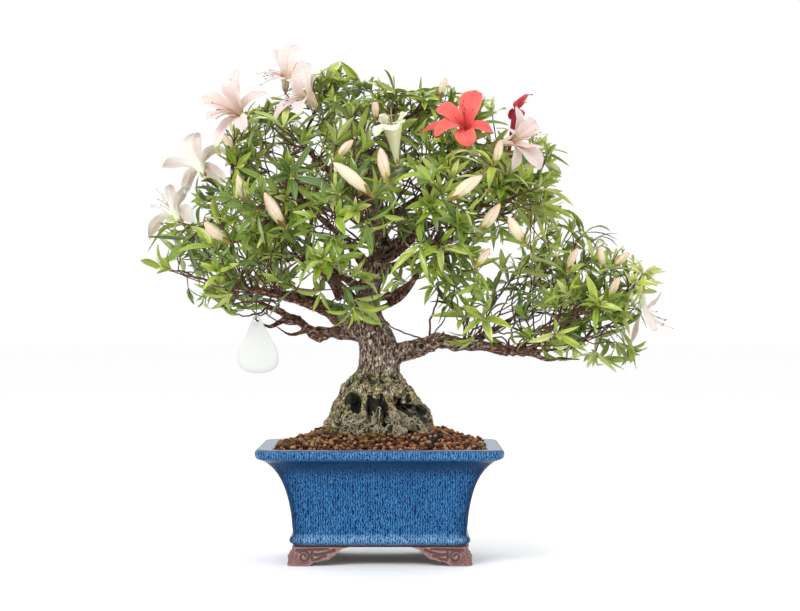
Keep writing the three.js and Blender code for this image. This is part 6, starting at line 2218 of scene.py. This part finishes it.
def make_label():
    """The shop's label: a bare drop of frosted plastic with a softened edge, a hole and a slight bend."""
    edge = label_edge()
    hole_middle, hole_radius = np.array(LABEL_HOLE[:2]), LABEL_HOLE[2]
    turns = np.arctan2(*(edge - hole_middle).T[::-1])
    hole = hole_middle + hole_radius * np.stack([np.cos(turns), np.sin(turns)], 1)
    rings, paint = [], []
    for share in (0, 0.012, 0.04, *np.linspace(0.12, 0.9, 8), 0.97, 1):
        ring = edge * (1 - share) + hole * share
        deep = min(1, 0.5 + 14 * min(share, 1 - share)) if 0 < share < 1 else 0
        rings.append(np.column_stack([ring, np.full(len(ring), deep)]))
        paint.append(np.clip(1 - 12 * min(share, 1 - share), 0, 1))
    body, columns = Body(), len(edge)
    for side in (-1, 1):
        flat = np.concatenate(rings)
        bend = 1.4 * np.sin(flat[:, 1] * math.pi / 58) + 0.6 * (flat[:, 0] / 20) ** 2
        points = np.column_stack([flat[:, 0], side * flat[:, 2] * LABEL_THICK / 2 + bend, flat[:, 1]])
        faces = ring_faces(len(rings), columns)
        rim = np.repeat(paint, columns)
        body.add(at(*LABEL_TOP) + points * MM, [faces if side > 0 else faces[:, ::-1]],
                 np.stack([rim, 0 * rim, 0 * rim, 1 + 0 * rim], 1))
    mesh = body.mesh("label_drop")
    add_piece(welded([mesh], mesh, LABEL_WELD), LOOKS["label"], ["label"], crease=40)


CARRIED_OVER = {"soil": "soil_bed", "label_wire": "wire", "drain_screen_left": "screen",
                "drain_screen_right": "screen"}


def assign(name, look):
    """Gives a CAD node that stays in sight its finished material."""
    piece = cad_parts[name]
    for slot in piece.material_slots:
        slot.material = look


# ---------------------------------------------------------------- everything together

# The light that each sort of petal is in, and the colours of its lobes, throat, midline and edge.
PETAL_COLOURS = {
    "petal_pale": [PETAL_LIGHT, (236, 222, 217), (255, 230, 196), (234, 194, 188), (238, 226, 223)],
    "petal_white_backlit": [WHITE_LIGHT, (242, 235, 232), (244, 236, 212), (236, 222, 218), (246, 241, 239)],
    "petal_cream": [PETAL_LIGHT, (252, 246, 226), (244, 236, 194), (232, 216, 170), (255, 252, 242)],
    "petal_coral": [PETAL_LIGHT, (254, 112, 100), (246, 82, 76), (222, 48, 52), (255, 146, 132)],
    "petal_crimson": [PETAL_LIGHT, (196, 26, 48), (160, 14, 34), (120, 8, 26), (216, 52, 68)],
}

make_camera()
LOOKS = {
    "leaf": leaf_look(),
    "twig": twig_look(),
    "bark": bark_look(),
    "glaze": glaze_look(),
    "clay": clay_look(),
    "soil": soil_look(),
    "moss": moss_look(),
    "bud": bud_look(),
    **{name: petal_look(name, *colours) for name, colours in PETAL_COLOURS.items()},
    "filament": painted_look("filament", 0.5, 900, Subsurface_Weight=0.2, Subsurface_Scale=0.002),
    "calyx": painted_look("calyx", 0.6, 500),
    "fine_root": painted_look("fine_root", 0.85, 300),
    "label": label_look(),
    "wire": mottled_look("wire", (52, 48, 44), (92, 86, 80), 300, 0.5),
    "screen": mottled_look("screen", (20, 30, 24), (44, 62, 50), 400, 0.5),
    # The soil under the granules: dark earth, and near black as painted shade for the gaps between the
    # granules.
    "soil_bed": mottled_look("soil_bed", (14, 7, 3), (50, 28, 16), 350, 0.9),
}
LIMB_SPOTS = limb_spots()
make_stage()
make_lamps()
make_pot()
make_feet()
wood_tree = tree_of([make_wood().data])
soil_tree = tree_of(["soil"])
make_fine_roots(wood_tree)
make_soil(soil_tree, wood_tree)
make_straws(soil_tree, wood_tree)
make_moss(soil_tree, wood_tree)
corollas = make_blooms()
make_buds()
make_sprays(corollas, wood_tree)
make_label()
for node, look in CARRIED_OVER.items():
    assign(node, LOOKS[look])
